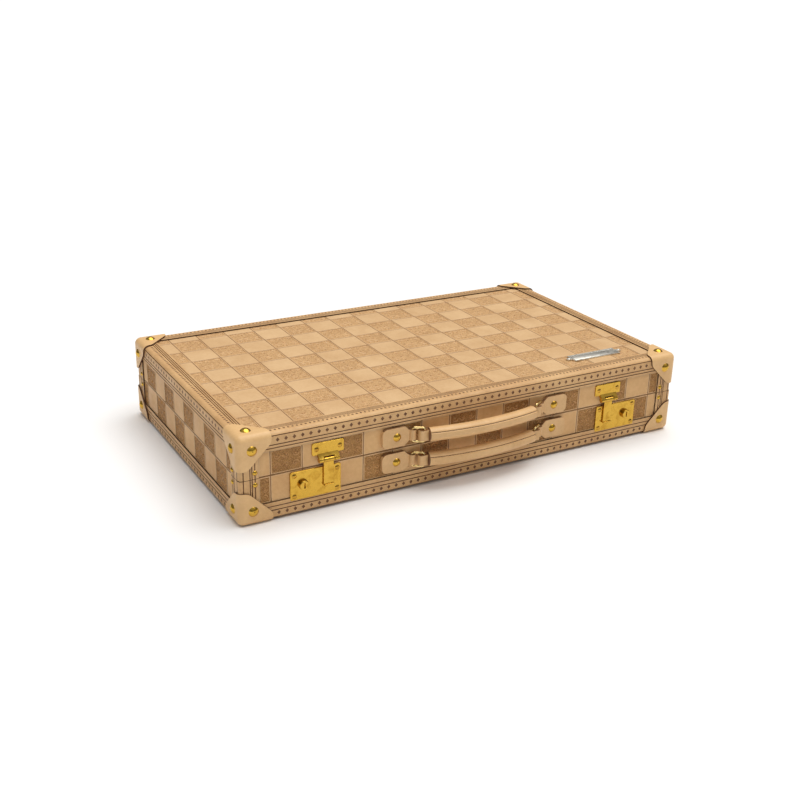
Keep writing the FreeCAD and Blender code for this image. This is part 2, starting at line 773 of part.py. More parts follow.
# ---- handles (drawn at the right-hand end) ----
ring_rest = math.radians(ring_tilt)
loop_out = chape_loop_radius + loop_stand_off
ring_bar_out = loop_out + ring_width * math.sin(ring_rest)
ring_per_travel = 1 / (ring_width * math.cos(ring_rest))
ring_angles = [ring_rest + travel * ring_per_travel for travel in (-handle_travel_in, handle_travel_out)]
strap_clear = ring_wire + strap_slack
chape_loop_x = grip_half_length + strap_web + strap_clear + ring_width * math.cos(ring_angles[0])
chape_end_x = chape_loop_x + chape_length
taper_from_x = chape_loop_x + chape_taper_from
taper_to_x = chape_loop_x + chape_taper_to
rivet_x = chape_loop_x + rivet_from_loop


def chape_part(level):
    """Leather tab folded round the ring's fixed bar and riveted down."""
    half = chape_height / 2
    neck = chape_neck_height / 2
    outline = [
        (chape_end_x, -half), (chape_end_x, half), (taper_from_x, half), (taper_to_x, neck),
        (chape_loop_x, neck), (chape_loop_x, -neck), (taper_to_x, -neck), (taper_from_x, -half),
    ]
    points = [V(x, -cover_y, level + z) for x, z in outline]
    tab = Part.Face(Part.makePolygon(points + points[:1])).extrude(V(0, -chape_thick, 0))
    ends = [e for e in parallel_edges(tab, Y_AXIS) if abs(e.Vertexes[0].Point.x - chape_end_x) < 1e-6]
    tab = tab.makeFillet(chape_corner, ends)
    foot = V(chape_loop_x, -cover_y - loop_out, level - neck)
    loop = rod(foot, Z_AXIS, chape_loop_radius, chape_neck_height)
    bore = rod(foot, Z_AXIS, ring_wire + ring_bore_clearance, chape_neck_height)
    return joined([tab, loop]).cut(bore)


def chape_rivet_part(level):
    """Domed rivet through the chape."""
    foot = V(rivet_x, -cover_y - chape_thick, level)
    length = chape_thick + cover_leather + nail_bite
    return domed_nail(foot, -Y_AXIS, rivet_radius, rivet_dome, rivet_shank, length)


def ring_part(level):
    """Rectangular ring of round wire, drawn flat and turned to its tilt about the bar in the chape."""
    half = ring_height / 2
    corners = [V(0, 0, -half), V(-ring_width, 0, -half), V(-ring_width, 0, half), V(0, 0, half)]
    bars = []
    for index, here in enumerate(corners):
        following = corners[(index + 1) % len(corners)]
        side = (following - here).Length
        before = (corners[index - 1] - here).normalize()
        after = (following - here).normalize()
        start = here + before * ring_corner
        disc = Part.Face(Part.Wire([Part.makeCircle(ring_wire, start, before)]))
        bars.append(disc.revolve(start + after * ring_corner, after.cross(before), 90))
        bars.append(rod(here + after * ring_corner, after, ring_wire, side - 2 * ring_corner))
    ring = joined(bars)
    ring.rotate(V(0, 0, 0), Z_AXIS, ring_tilt)
    ring.translate(V(chape_loop_x, -cover_y - loop_out, level))
    return ring


def grip_part(level):
    """Rolled grip, bowed away from the case."""
    centre = V(0, -cover_y - grip_end_out - grip_bow + grip_arc_radius, level)
    sweep = 2 * math.asin(grip_half_length / grip_arc_radius)
    disc = Part.Face(Part.Wire([Part.makeCircle(grip_radius, centre - V(0, grip_arc_radius, 0), X_AXIS)]))
    disc.rotate(centre, Z_AXIS, -math.degrees(sweep) / 2)
    return disc.revolve(centre, Z_AXIS, math.degrees(sweep))


def strap_part(level, grip):
    """Strap end folded round the ring's free bar, with room for the bar to shift as the handle moves."""
    bar_x = [chape_loop_x - ring_width * math.cos(angle) for angle in ring_angles + [ring_rest]]
    lag = []
    for angle, travel in zip(ring_angles, (-handle_travel_in, handle_travel_out)):
        lag.append(loop_out + ring_width * math.sin(angle) - travel - ring_bar_out)
    out0 = ring_bar_out + min(lag) - strap_clear
    out1 = ring_bar_out + max(lag + [0.0]) + strap_clear
    x0 = min(bar_x) - strap_clear
    x1 = max(bar_x) + strap_clear
    z0 = level - strap_height / 2
    z1 = level + strap_height / 2
    strap = front_block(grip_half_length - strap_bite, x1 + strap_leather, out0 - strap_leather,
                        out1 + strap_leather, z0, z1)
    fold_x = x1 + strap_leather
    fold = [e for e in parallel_edges(strap, Z_AXIS) if abs(e.Vertexes[0].Point.x - fold_x) < 1e-6]
    strap = strap.makeFillet(strap_fold_round, fold)
    slot = front_block(x0, x1, out0, out1, z0, z1)
    slot = slot.makeFillet(ring_wire, parallel_edges(slot, Z_AXIS))
    return strap.cut(slot).cut(grip)


# ---- nameplate ----
def nameplate_parts():
    """Blank plate with pointed ends and a raised rim, and the pins that hold it."""
    y = -case_depth / 2 + nameplate_from_front
    half = nameplate_length / 2
    width = nameplate_width / 2
    tip = half + nameplate_point
    ear = nameplate_pin_radius + nameplate_ear_margin
    outline = [
        (-half, -width), (half, -width), (half, -ear), (tip, -ear), (tip, ear), (half, ear),
        (half, width), (-half, width), (-half, ear), (-tip, ear), (-tip, -ear), (-half, -ear),
    ]
    points = [V(nameplate_x + u, y + v, cover_top) for u, v in outline]
    plate = Part.Face(Part.makePolygon(points + points[:1])).extrude(V(0, 0, nameplate_sheet))
    rim = nameplate_rim
    field = block(nameplate_x - half + rim, nameplate_x + half - rim, y - width + rim, y + width - rim,
                  cover_top + nameplate_sheet - nameplate_field_depth, cover_top + nameplate_sheet)
    plate = plate.cut(field)
    pins = []
    for side in (-1, 1):
        foot = V(nameplate_x + side * (tip - ear), y, cover_top + nameplate_sheet)
        length = nameplate_sheet + cover_leather + nail_bite / 2
        pins.append(domed_nail(foot, Z_AXIS, nameplate_pin_radius, nameplate_pin_dome,
                               nameplate_pin_shank, length))
    return plate, pins


# ---- assembly ----
def build_locks():
    """Both locks and hasps, each piece in a node of its own."""
    makers = {
        "lock_plate": lock_plate_part(),
        "lock_screws": group(lock_screw_parts()),
        "lock_case": lock_case_part(),
        "lock_barrel": barrel_part(),
        "lock_bolt": bolt_part(),
        "hasp_plate": hasp_upper_part(),
        "hasp_screws": group(hasp_screw_parts()),
        "hasp_pin": hasp_pin_part(),
        "hasp": hasp_part(),
    }
    makers["lock_plate"] = makers["lock_plate"].cut(makers["lock_screws"])
    makers["hasp_plate"] = makers["hasp_plate"].cut(makers["hasp_screws"])
    for name, shape in makers.items():
        pieces[name + "_right"] = shape
        pieces[name + "_left"] = mirrored_x(shape)


def build_handles():
    """A handle on each half: chapes, rivets, rings, straps and grip."""
    for name, level in (("upper", parting_height + handle_from_parting),
                        ("lower", parting_height - handle_from_parting)):
        grip = grip_part(level)
        rivet = chape_rivet_part(level)
        pieces["handle_grip_" + name] = grip
        pieces["handle_straps_" + name] = group(both_ends(strap_part(level, grip)))
        pieces["chapes_" + name] = group(both_ends(chape_part(level).cut(rivet)))
        pieces["chape_rivets_" + name] = group(both_ends(rivet))
        ring = ring_part(level)
        pieces["ring_" + name + "_right"] = ring
        pieces["ring_" + name + "_left"] = mirrored_x(ring)


def build_hinges_and_stays():
    """Back hinges, their screws and pins, and the two lid stays."""
    for half in ("base", "lid"):
        screws = group(hinge_screw_parts(half))
        pieces["hinge_screws_" + half] = screws
        pieces["hinge_leaves_" + half] = group(both_ends(hinge_leaf_part(half).cut(screws)))
    end = hinge_length / 2
    pin = rod_x(hinge_centre_x - end, hinge_centre_x + end, hinge_y, parting_height, hinge_pin_radius)
    pieces["hinge_pins"] = group(both_ends(pin))
    for name, shape in (("stay_rail", stay_rail_part()), ("stay_arm", stay_arm_part()),
                        ("stay_bracket", stay_bracket_part())):
        pieces[name + "_right"] = shape
        pieces[name + "_left"] = mirrored_x(shape)


def build_halves():
    """Shells, leather, linings, bindings, caps and nails, pierced for everything fixed to them."""
    plate, pins = nameplate_parts()
    pieces["nameplate_pins"] = group(pins)
    pieces["nameplate"] = plate.cut(pieces["nameplate_pins"])
    for half in ("base", "lid"):
        cap_nails = group(cap_nail_parts(half))
        edge_nails = group(edge_nail_parts(half))
        handle = "lower" if half == "base" else "upper"
        fixings = [cap_nails, edge_nails, pieces["hinge_screws_" + half], pieces["chape_rivets_" + handle]]
        if half == "base":
            fixings += [pieces["lock_screws_left"], pieces["lock_screws_right"]]
            fixings += both_ends(lock_case_block()) + both_ends(staple_channel())
        else:
            fixings += [pieces["hasp_screws_left"], pieces["hasp_screws_right"], pieces["nameplate_pins"]]
        cutters = [solid for fixing in fixings for solid in fixing.Solids]
        wood, cover = shell_parts(half)
        front_plate = "lock_plate_" if half == "base" else "hasp_plate_"
        fittings = [pieces[front_plate + "left"], pieces[front_plate + "right"]]
        fittings += [pieces["chapes_" + handle], pieces["hinge_leaves_" + half]]
        pieces[half + "_shell"] = wood.cut(cutters)
        pieces[half + "_cover"] = cover.cut(cutters)
        trimmed = cutters + [solid for fitting in fittings for solid in fitting.Solids]
        pieces[half + "_binding"] = group([strip.cut(trimmed) for strip in binding_parts(half)])
        pieces[half + "_corner_caps"] = group([cap.cut(cap_nails.Solids) for cap in cap_parts(half)])
        pieces[half + "_cap_nails"] = cap_nails
        pieces[half + "_edge_nails"] = edge_nails
        pieces[half + "_lining"] = lining_part(half)
    pieces["chip_tray"] = tray_part()
    pieces["lid_pad"] = pad_part()


build_locks()
build_handles()
build_hinges_and_stays()
build_halves()

for name, shape in pieces.items():
    placed = shape.copy()
    placed.translate(origin_shift)
    placed.exportStep("parts/" + name + ".step")
    print(name, len(placed.Solids), round(placed.Volume, 1), placed.isValid())
print(len(pieces), "nodes; origin moved by", origin_shift)
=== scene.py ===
"""Looks of a leather poker chip case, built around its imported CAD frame.

Every length is in metres, in the frame's own axes: the front faces -Y and +Z is up. The leather,
handles, linings, tray, pad, lock and hasp plates, hasps and nameplate are new pieces; the rest of the
metalwork and the wooden shells are the frame's own, with better finishes.
"""

import logging
import math
from collections.abc import Callable, Iterable
from dataclasses import dataclass
from enum import Enum

import bmesh
import bpy
from mathutils import Matrix, Vector


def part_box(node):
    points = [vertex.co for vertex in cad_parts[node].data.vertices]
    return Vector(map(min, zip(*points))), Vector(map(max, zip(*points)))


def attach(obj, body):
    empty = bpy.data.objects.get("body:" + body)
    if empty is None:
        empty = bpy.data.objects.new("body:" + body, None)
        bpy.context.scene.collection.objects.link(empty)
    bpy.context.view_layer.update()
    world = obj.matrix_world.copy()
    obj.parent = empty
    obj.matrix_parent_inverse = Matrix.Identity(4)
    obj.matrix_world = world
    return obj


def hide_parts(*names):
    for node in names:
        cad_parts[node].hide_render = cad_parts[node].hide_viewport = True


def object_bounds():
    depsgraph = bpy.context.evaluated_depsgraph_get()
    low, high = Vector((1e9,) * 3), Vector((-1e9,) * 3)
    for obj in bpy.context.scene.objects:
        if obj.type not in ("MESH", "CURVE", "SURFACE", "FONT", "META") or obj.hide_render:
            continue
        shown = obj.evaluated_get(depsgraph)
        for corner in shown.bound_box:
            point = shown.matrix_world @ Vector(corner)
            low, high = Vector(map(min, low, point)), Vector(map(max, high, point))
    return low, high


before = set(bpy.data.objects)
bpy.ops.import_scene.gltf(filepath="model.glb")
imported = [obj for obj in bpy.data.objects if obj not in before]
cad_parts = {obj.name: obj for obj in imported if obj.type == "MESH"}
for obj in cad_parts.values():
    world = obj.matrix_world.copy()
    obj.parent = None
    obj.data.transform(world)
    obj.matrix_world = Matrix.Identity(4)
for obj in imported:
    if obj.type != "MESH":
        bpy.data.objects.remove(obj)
CAD_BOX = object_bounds()

MM = 0.001
TOUCH = 1e-6
PLANE_SLACK = 1e-7
MERGE_GAP = 2e-6
FLAT_ANGLE = math.radians(0.4)
FACING = 0.99
CRISP_ANGLE = 60.0
UP = Vector((0.0, 0.0, 1.0))
log = logging.getLogger("chip_case")

Colour = tuple[float, float, float, float]
Socket = bpy.types.NodeSocket
Material = bpy.types.Material
Piece = bpy.types.Object
BMesh = bmesh.types.BMesh
BMVert = bmesh.types.BMVert
BMEdge = bmesh.types.BMEdge
BMFace = bmesh.types.BMFace


class Half(Enum):
    """The two halves of the case, by the name of the CAD body that each one rides on."""

    BASE = "base"
    LID = "lid"


class Axis(Enum):
    """The three directions of the frame."""

    X = 0
    Y = 1
    Z = 2


# ---- colours and node materials ----
def srgb(red: int, green: int, blue: int) -> Colour:
    """A colour as a shader wants it.

    Args:
        red: 0 to 255, as on a screen.
        green: 0 to 255.
        blue: 0 to 255.

    Returns:
        The same colour as linear light, with full alpha.
    """
    def linear(level: int) -> float:
        """One channel as linear light."""
        share = level / 255
        return share / 12.92 if share <= 0.04045 else ((share + 0.055) / 1.055) ** 2.4

    return (linear(red), linear(green), linear(blue), 1.0)


class Recipe:
    """One node material as it is written: it adds nodes and hands their outputs on."""

    def __init__(self, name: str) -> None:
        """Starts a material with a Principled shader and Object coordinates.

        Args:
            name: the material's name.
        """
        self.material = bpy.data.materials.new(name)
        self.material.use_nodes = True
        self.tree = self.material.node_tree
        self.shader = self.tree.nodes["Principled BSDF"]
        self.place = self.add("ShaderNodeTexCoord").outputs["Object"]

    def add(self, kind: str, **settings: object) -> bpy.types.Node:
        """A new node with some of its properties set.

        Args:
            kind: the node's type.
            settings: its properties by name.

        Returns:
            The node.
        """
        node = self.tree.nodes.new(kind)
        for key, value in settings.items():
            setattr(node, key, value)
        return node

    def feed(self, target: Socket, source: Socket | float | Colour) -> None:
        """Joins an output to an input, or sets the input's fixed value.

        Args:
            target: the input.
            source: an output, a number or a colour.
        """
        if isinstance(source, bpy.types.NodeSocket):
            self.tree.links.new(source, target)
        else:
            target.default_value = source

    def stretched(self, x: float, y: float, z: float, turn: float = 0.0) -> Socket:
        """Object coordinates scaled along each axis, turned about Z by an angle first.

        Args:
            x: the scale along X.
            y: the scale along Y.
            z: the scale along Z.
            turn: the angle about Z.

        Returns:
            The new coordinates.
        """
        node = self.add("ShaderNodeMapping")
        self.feed(node.inputs["Vector"], self.place)
        node.inputs["Rotation"].default_value = (0.0, 0.0, turn)
        node.inputs["Scale"].default_value = (x, y, z)
        return node.outputs["Vector"]

    def noise(self, size: float, detail: float = 3.0, place: Socket | None = None,
              warp: float = 0.0) -> Socket:
        """Cloudy noise.

        Args:
            size: how wide one cloud is, in metres, or 1 where place is already scaled.
            detail: the noise's octaves.
            place: other coordinates to read.
            warp: the noise's distortion.

        Returns:
            The noise, from 0 to 1.
        """
        node = self.add("ShaderNodeTexNoise")
        self.feed(node.inputs["Vector"], place or self.place)
        node.inputs["Scale"].default_value = 1 / size
        node.inputs["Detail"].default_value = detail
        node.inputs["Distortion"].default_value = warp
        return node.outputs[0]

    def cells(self, size: float) -> Socket:
        """The distance from the nearest cell's centre, for grain and stipple.

        Args:
            size: how wide one cell is, in metres.

        Returns:
            The distance, 0 at a cell's centre.
        """
        node = self.add("ShaderNodeTexVoronoi", feature="F1")
        self.feed(node.inputs["Vector"], self.place)
        node.inputs["Scale"].default_value = 1 / size
        return node.outputs["Distance"]

    def sum(self, *terms: tuple[Socket, float]) -> Socket:
        """Several outputs, each times its own weight, added up.

        Args:
            terms: each output with its weight.

        Returns:
            The sum.
        """
        total: Socket | float = 0.0
        for source, weight in terms:
            node = self.add("ShaderNodeMath", operation="MULTIPLY_ADD")
            self.feed(node.inputs[0], source)
            node.inputs[1].default_value = weight
            self.feed(node.inputs[2], total)
            total = node.outputs[0]
        return total

    def fit(self, source: Socket, low: float, high: float, to_low: float, to_high: float) -> Socket:
        """An output's range mapped to another one, and held inside it.

        Args:
            source: the output.
            low: the range's lower end.
            high: its upper end.
            to_low: what the lower end becomes.
            to_high: what the upper end becomes.

        Returns:
            The mapped output.
        """
        node = self.add("ShaderNodeMapRange")
        self.feed(node.inputs["Value"], source)
        for name, value in (("From Min", low), ("From Max", high),
                            ("To Min", to_low), ("To Max", to_high)):
            node.inputs[name].default_value = value
        return node.outputs["Result"]

    def tint(self, source: Socket, *stops: tuple[float, Colour]) -> Socket:
        """A colour ramp read by an output.

        Args:
            source: what the ramp reads.
            stops: each place on the ramp with its colour.

        Returns:
            The colour.
        """
        node = self.add("ShaderNodeValToRGB")
        self.feed(node.inputs["Fac"], source)
        ramp = node.color_ramp
        while len(ramp.elements) < len(stops):
            ramp.elements.new(0.5)
        for element, (place, colour) in zip(ramp.elements, stops):
            element.position = place
            element.color = colour
        return node.outputs["Color"]

    def relief(self, height: Socket, depth: float) -> None:
        """Bumps on the shader's normal: height 0 to 1 stands for depth metres.

        Args:
            height: the bumps' height.
            depth: how deep they are, in metres.
        """
        node = self.add("ShaderNodeBump")
        node.inputs["Strength"].default_value = 1.0
        node.inputs["Distance"].default_value = depth
        self.feed(node.inputs["Height"], height)
        self.feed(self.shader.inputs["Normal"], node.outputs["Normal"])

    def finish(self, colour: Socket | Colour, rough: Socket | float, **fixed: float) -> Material:
        """Sets the shader's colour, roughness and other fixed inputs, and returns the material.

        Args:
            colour: the base colour.
            rough: the roughness.
            fixed: other inputs by name, in lower case with underscores.

        Returns:
            The material.
        """
        self.feed(self.shader.inputs["Base Color"], colour)
        self.feed(self.shader.inputs["Roughness"], rough)
        for name, value in fixed.items():
            label = name.replace("_", " ").title().replace("Ior", "IOR")
            self.shader.inputs[label].default_value = value
        return self.material


@dataclass(frozen=True)
class LeatherFinish:
    """Vegetable-tanned leather: pores, soft clouds of tan, and handling marks."""

    name: str
    light: Colour
    dark: Colour
    pore: float = 0.55 * MM
    pore_depth: float = 0.05 * MM
    cloud: float = 28 * MM
    rough: tuple[float, float] = (0.42, 0.6)

    def make(self) -> Material:
        """Writes the material's nodes.

        Returns:
            The material.
        """
        r = Recipe(self.name)
        clouds = r.noise(self.cloud, 4.0, warp=0.4)
        fine = r.noise(self.pore * 5, 5.0)
        pores = r.cells(self.pore)
        tone = r.sum((clouds, 0.62), (fine, 0.3), (pores, 0.12))
        colour = r.tint(tone, (0.36, self.dark), (0.66, self.light))
        height = r.sum((pores, -0.5), (fine, 0.8), (r.noise(self.pore * 1.3, 2.0), 0.35))
        r.relief(height, self.pore_depth)
        rough = r.fit(r.noise(self.cloud * 0.4, 5.0), 0.3, 0.7, *self.rough)
        return r.finish(colour, rough, specular_ior_level=0.42)


@dataclass(frozen=True)
class StippledFinish:
    """Leather beaten down with a fine punch between raised scrolls, darker in its punched hollows; its
    darker copy on the upright sides is painted shade.
    """

    name: str
    ground: Colour
    light: Colour
    punch: float = 0.75 * MM
    depth: float = 0.22 * MM

    def make(self) -> Material:
        """Writes the material's nodes.

        Returns:
            The material.
        """
        r = Recipe(self.name)
        punches = r.cells(self.punch)
        worm = r.noise(self.punch * 2.6, 3.0, warp=1.6)
        tone = r.sum((punches, 0.55), (worm, 0.75), (r.noise(20 * MM, 3.0), 0.25))
        colour = r.tint(tone, (0.5, self.ground), (0.92, self.light))
        r.relief(r.sum((punches, 0.8), (worm, 0.6)), self.depth)
        return r.finish(colour, r.fit(worm, 0.2, 0.8, 0.75, 0.5), specular_ior_level=0.35)


@dataclass(frozen=True)
class BurnishedFinish:
    """Cut leather edges and tooled lines, rubbed dark."""

    name: str
    colour: Colour
    worn: Colour

    def make(self) -> Material:
        """Writes the material's nodes.

        Returns:
            The material.
        """
        r = Recipe(self.name)
        fibres = r.noise(0.8 * MM, 5.0, warp=0.8)
        wear = r.noise(9 * MM, 4.0)
        colour = r.tint(r.sum((fibres, 0.45), (wear, 0.55)), (0.42, self.colour), (0.74, self.worn))
        r.relief(fibres, 0.08 * MM)
        return r.finish(colour, r.fit(wear, 0.3, 0.7, 0.38, 0.62))


@dataclass(frozen=True)
class MetalFinish:
    """Polished metal with hairline scratches, finger marks and a little tarnish."""

    name: str
    bright: Colour
    tarnish: Colour
    rough: tuple[float, float] = (0.14, 0.3)
    scratch_depth: float = 0.012 * MM

    def make(self) -> Material:
        """Writes the material's nodes.

        Returns:
            The material.
        """
        r = Recipe(self.name)
        smudge = r.noise(7 * MM, 5.0, warp=0.6)
        hair = r.noise(1.0, 3.0, place=r.stretched(90.0, 90.0, 2600.0, 0.4))
        cast = r.noise(1.6 * MM, 3.0)
        colour = r.tint(r.sum((smudge, 0.8), (cast, 0.2)), (0.3, self.tarnish), (0.5, self.bright))
        r.relief(r.sum((hair, 0.6), (cast, 0.5)), self.scratch_depth)
        rough = r.fit(r.sum((smudge, 0.6), (hair, 0.4)), 0.35, 0.65, *self.rough)
        return r.finish(colour, rough, metallic=1.0)


@dataclass(frozen=True)
class ClothFinish:
    """Short-pile cloth: a napped weave that catches light at a grazing angle."""

    name: str
    light: Colour
    dark: Colour
    thread: float = 0.7 * MM
    sheen: float = 0.6

    def make(self) -> Material:
        """Writes the material's nodes.

        Returns:
            The material.
        """
        r = Recipe(self.name)
        pile = r.noise(self.thread, 4.0)
        brushed = r.noise(16 * MM, 4.0, warp=1.2)
        weave = r.cells(self.thread * 1.4)
        tone = r.sum((pile, 0.35), (brushed, 0.5), (weave, 0.15))
        colour = r.tint(tone, (0.34, self.dark), (0.66, self.light))
        r.relief(r.sum((pile, 0.8), (weave, 0.6)), 0.16 * MM)
        return r.finish(colour, r.fit(brushed, 0.3, 0.7, 0.82, 0.96), sheen_weight=self.sheen,
                        sheen_roughness=0.4, specular_ior_level=0.2)


@dataclass(frozen=True)
class WoodFinish:
    """Pale close-grained board with rings, pores and sanded faces."""

    name: str
    light: Colour
    dark: Colour

    def make(self) -> Material:
        """Writes the material's nodes.

        Returns:
            The material.
        """
        r = Recipe(self.name)
        along = r.stretched(14.0, 120.0, 120.0)
        rings = r.noise(1.0, 3.0, place=along, warp=1.8)
        pores = r.noise(1.0, 4.0, place=r.stretched(160.0, 1900.0, 1900.0))
        colour = r.tint(r.sum((rings, 0.7), (pores, 0.3)), (0.36, self.dark), (0.62, self.light))
        r.relief(r.sum((pores, 0.7), (rings, 0.3)), 0.07 * MM)
        return r.finish(colour, r.fit(pores, 0.3, 0.7, 0.5, 0.66))


@dataclass(frozen=True)
class ThreadFinish:
    """Waxed linen thread."""

    name: str
    light: Colour
    dark: Colour

    def make(self) -> Material:
        """Writes the material's nodes.

        Returns:
            The material.
        """
        r = Recipe(self.name)
        twist = r.noise(1.0, 2.0, place=r.stretched(2400.0, 900.0, 2400.0))
        colour = r.tint(twist, (0.35, self.dark), (0.65, self.light))
        r.relief(twist, 0.06 * MM)
        return r.finish(colour, r.fit(twist, 0.3, 0.7, 0.5, 0.68))


@dataclass(frozen=True)
class FloorFinish:
    """Plain pale studio floor with the faintest mottling."""

    name: str
    light: Colour
    dark: Colour

    def make(self) -> Material:
        """Writes the material's nodes.

        Returns:
            The material.
        """
        r = Recipe(self.name)
        colour = r.tint(r.noise(0.5, 2.0), (0.3, self.dark), (0.7, self.light))
        return r.finish(colour, 0.85, specular_ior_level=0.1)


class Finishes:
    """Every finish of the case, made once."""

    def __init__(self) -> None:
        """Makes the materials."""
        self.tile = LeatherFinish("tan_tile_leather", srgb(222, 184, 136), srgb(206, 165, 116)).make()
        self.ground = StippledFinish("punched_ground_leather", srgb(160, 116, 70),
                                     srgb(214, 172, 120)).make()
        self.scroll = LeatherFinish("raised_scroll_leather", srgb(224, 184, 134),
                                    srgb(204, 160, 110)).make()
        # The three copies below, for the upright faces, are darker and warmer than the top's finishes:
        # painted shade.
        self.side_tile = LeatherFinish("side_tile_leather", srgb(222, 178, 122),
                                       srgb(204, 156, 100)).make()
        self.side_ground = StippledFinish("side_ground_leather", srgb(116, 76, 36),
                                          srgb(182, 134, 76)).make()
        self.side_scroll = LeatherFinish("side_scroll_leather", srgb(206, 158, 102),
                                         srgb(170, 122, 72)).make()
        self.tile_line = BurnishedFinish("tile_line_leather", srgb(140, 98, 58),
                                         srgb(176, 132, 86)).make()
        self.border = LeatherFinish("border_leather", srgb(220, 178, 124), srgb(198, 152, 100)).make()
        self.tool_line = BurnishedFinish("tooled_line_leather", srgb(104, 66, 36),
                                         srgb(142, 98, 58)).make()
        self.edge = BurnishedFinish("burnished_edge_leather", srgb(62, 34, 18), srgb(98, 60, 34)).make()
        self.chape_edge = BurnishedFinish("chape_edge_leather", srgb(122, 84, 50),
                                          srgb(158, 116, 76)).make()
        self.cap = LeatherFinish("cap_leather_natural", srgb(232, 190, 134), srgb(218, 174, 118),
                                 rough=(0.36, 0.5)).make()
        self.cap_edge = BurnishedFinish("cap_edge_leather", srgb(74, 42, 24), srgb(110, 70, 42)).make()
        self.handle = LeatherFinish("handle_leather_natural", srgb(224, 182, 128), srgb(206, 162, 108),
                                    rough=(0.34, 0.48)).make()
        self.thread = ThreadFinish("waxed_thread", srgb(196, 158, 108), srgb(128, 90, 54)).make()
        self.brass = MetalFinish("polished_brass", srgb(206, 164, 68), srgb(176, 132, 48)).make()
        self.screw_brass = MetalFinish("screw_brass", srgb(196, 150, 62), srgb(150, 106, 36),
                                       rough=(0.1, 0.22)).make()
        self.pale_brass = MetalFinish("pale_gilt_brass", srgb(240, 214, 150), srgb(210, 170, 96),
                                      rough=(0.1, 0.22)).make()
        self.inner_steel = MetalFinish("plated_steel", srgb(196, 196, 190), srgb(150, 148, 140),
                                       rough=(0.24, 0.42)).make()
        self.silver = MetalFinish("satin_nickel", srgb(226, 222, 212), srgb(188, 182, 170),
                                  rough=(0.36, 0.48)).make()
        self.engraving = MetalFinish("engraved_line", srgb(88, 84, 78), srgb(52, 48, 44),
                                     rough=(0.4, 0.6)).make()
        self.wood = WoodFinish("poplar_board", srgb(214, 184, 140), srgb(180, 142, 98)).make()
        self.lining = ClothFinish("lining_suede", srgb(150, 112, 74), srgb(116, 82, 50)).make()
        self.tray = ClothFinish("tray_velour", srgb(132, 94, 58), srgb(98, 66, 38)).make()
        self.pad = ClothFinish("pad_suede", srgb(176, 138, 96), srgb(146, 108, 70),
                               thread=0.9 * MM).make()
        self.floor = FloorFinish("studio_floor", srgb(250, 250, 250), srgb(246, 246, 247)).make()


# ---- mesh helpers ----
def new_piece(name: str, bm: BMesh, materials: Iterable[Material],
              smooth_angle: float = 32.0) -> Piece:
    """Turns a finished bmesh into an object at the origin.

    Args:
        name: the piece's name.
        bm: its mesh, which is freed.
        materials: the materials of its slots, in order.
        smooth_angle: edges sharper than this many degrees stay crisp.

    Returns:
        The object, linked to the scene.
    """
    mesh = bpy.data.meshes.new(name)
    bm.to_mesh(mesh)
    bm.free()
    for material in materials:
        mesh.materials.append(material)
    mesh.shade_smooth()
    mesh.set_sharp_from_angle(angle=math.radians(smooth_angle))
    piece = bpy.data.objects.new(name, mesh)
    bpy.context.scene.collection.objects.link(piece)
    return piece


def settle(piece: Piece, body: str, slot: str, nodes: Iterable[str] = ()) -> Piece:
    """Lets a piece ride on its body and stand for its CAD nodes, and logs it.

    Args:
        piece: the finished piece.
        body: the body that it rides on.
        slot: a CAD material slot name; not used.
        nodes: the CAD nodes that it stands for.

    Returns:
        The same piece.
    """
    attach(piece, body)
    if nodes:
        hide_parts(*nodes)
    log.info("%s rides on %s: %d faces", piece.name, body, len(piece.data.polygons))
    return piece


def soften(piece: Piece, width: float, segments: int = 3, angle: float = 38.0) -> None:
    """Rounds a piece's sharp edges with a Bevel modifier that keeps each side's material.

    Args:
        piece: the piece.
        width: how wide the rounding is.
        segments: how many steps it has.
        angle: edges sharper than this many degrees are rounded.
    """
    bevel = piece.modifiers.new("soft_edges", "BEVEL")
    bevel.width = width
    bevel.segments = segments
    bevel.limit_method = "ANGLE"
    bevel.angle_limit = math.radians(angle)
    bevel.use_clamp_overlap = True
    bevel.harden_normals = False


def apply_modifiers(piece: Piece) -> None:
    """Writes a piece's modifiers into its mesh.

    Args:
        piece: the piece, which is left with no modifiers.
    """
    graph = bpy.context.evaluated_depsgraph_get()
    made = bpy.data.meshes.new_from_object(piece.evaluated_get(graph))
    piece.modifiers.clear()
    piece.data = made


def merged_copy(node: str) -> BMesh:
    """A CAD node's mesh with its loose triangles merged into flat faces.

    Args:
        node: the CAD node's name.

    Returns:
        The copy, which the caller frees.
    """
    bm = bmesh.new()
    bm.from_mesh(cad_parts[node].data)
    bmesh.ops.remove_doubles(bm, verts=bm.verts, dist=MERGE_GAP)
    bmesh.ops.dissolve_limit(bm, angle_limit=FLAT_ANGLE, verts=bm.verts, edges=bm.edges)
    return bm


def add_block(bm: BMesh, low: Vector, high: Vector) -> list[BMVert]:
    """Adds a plain block between two corners and returns its vertices.

    Args:
        bm: the mesh to add to.
        low: the block's low corner.
        high: its high corner.

    Returns:
        The block's vertices.
    """
    size = high - low
    place = Matrix.Translation((low + high) / 2) @ Matrix.Diagonal((*size, 1.0))
    return bmesh.ops.create_cube(bm, size=1.0, matrix=place)["verts"]


def add_stitch(bm: BMesh, place: Matrix, length: float, radius: float) -> None:
    """Adds one stitch: a bead of thread drawn out along its place's own X axis.

    Args:
        bm: the mesh to add to.
        place: where the stitch lies and how it is turned.
        length: from one end of the stitch to the other.
        radius: half the thread's thickness.
    """
    verts = bmesh.ops.create_uvsphere(bm, u_segments=6, v_segments=4, radius=1.0)["verts"]
    size = Matrix.Diagonal((length / 2, radius, radius, 1.0))
    bmesh.ops.transform(bm, matrix=place @ size, verts=verts)


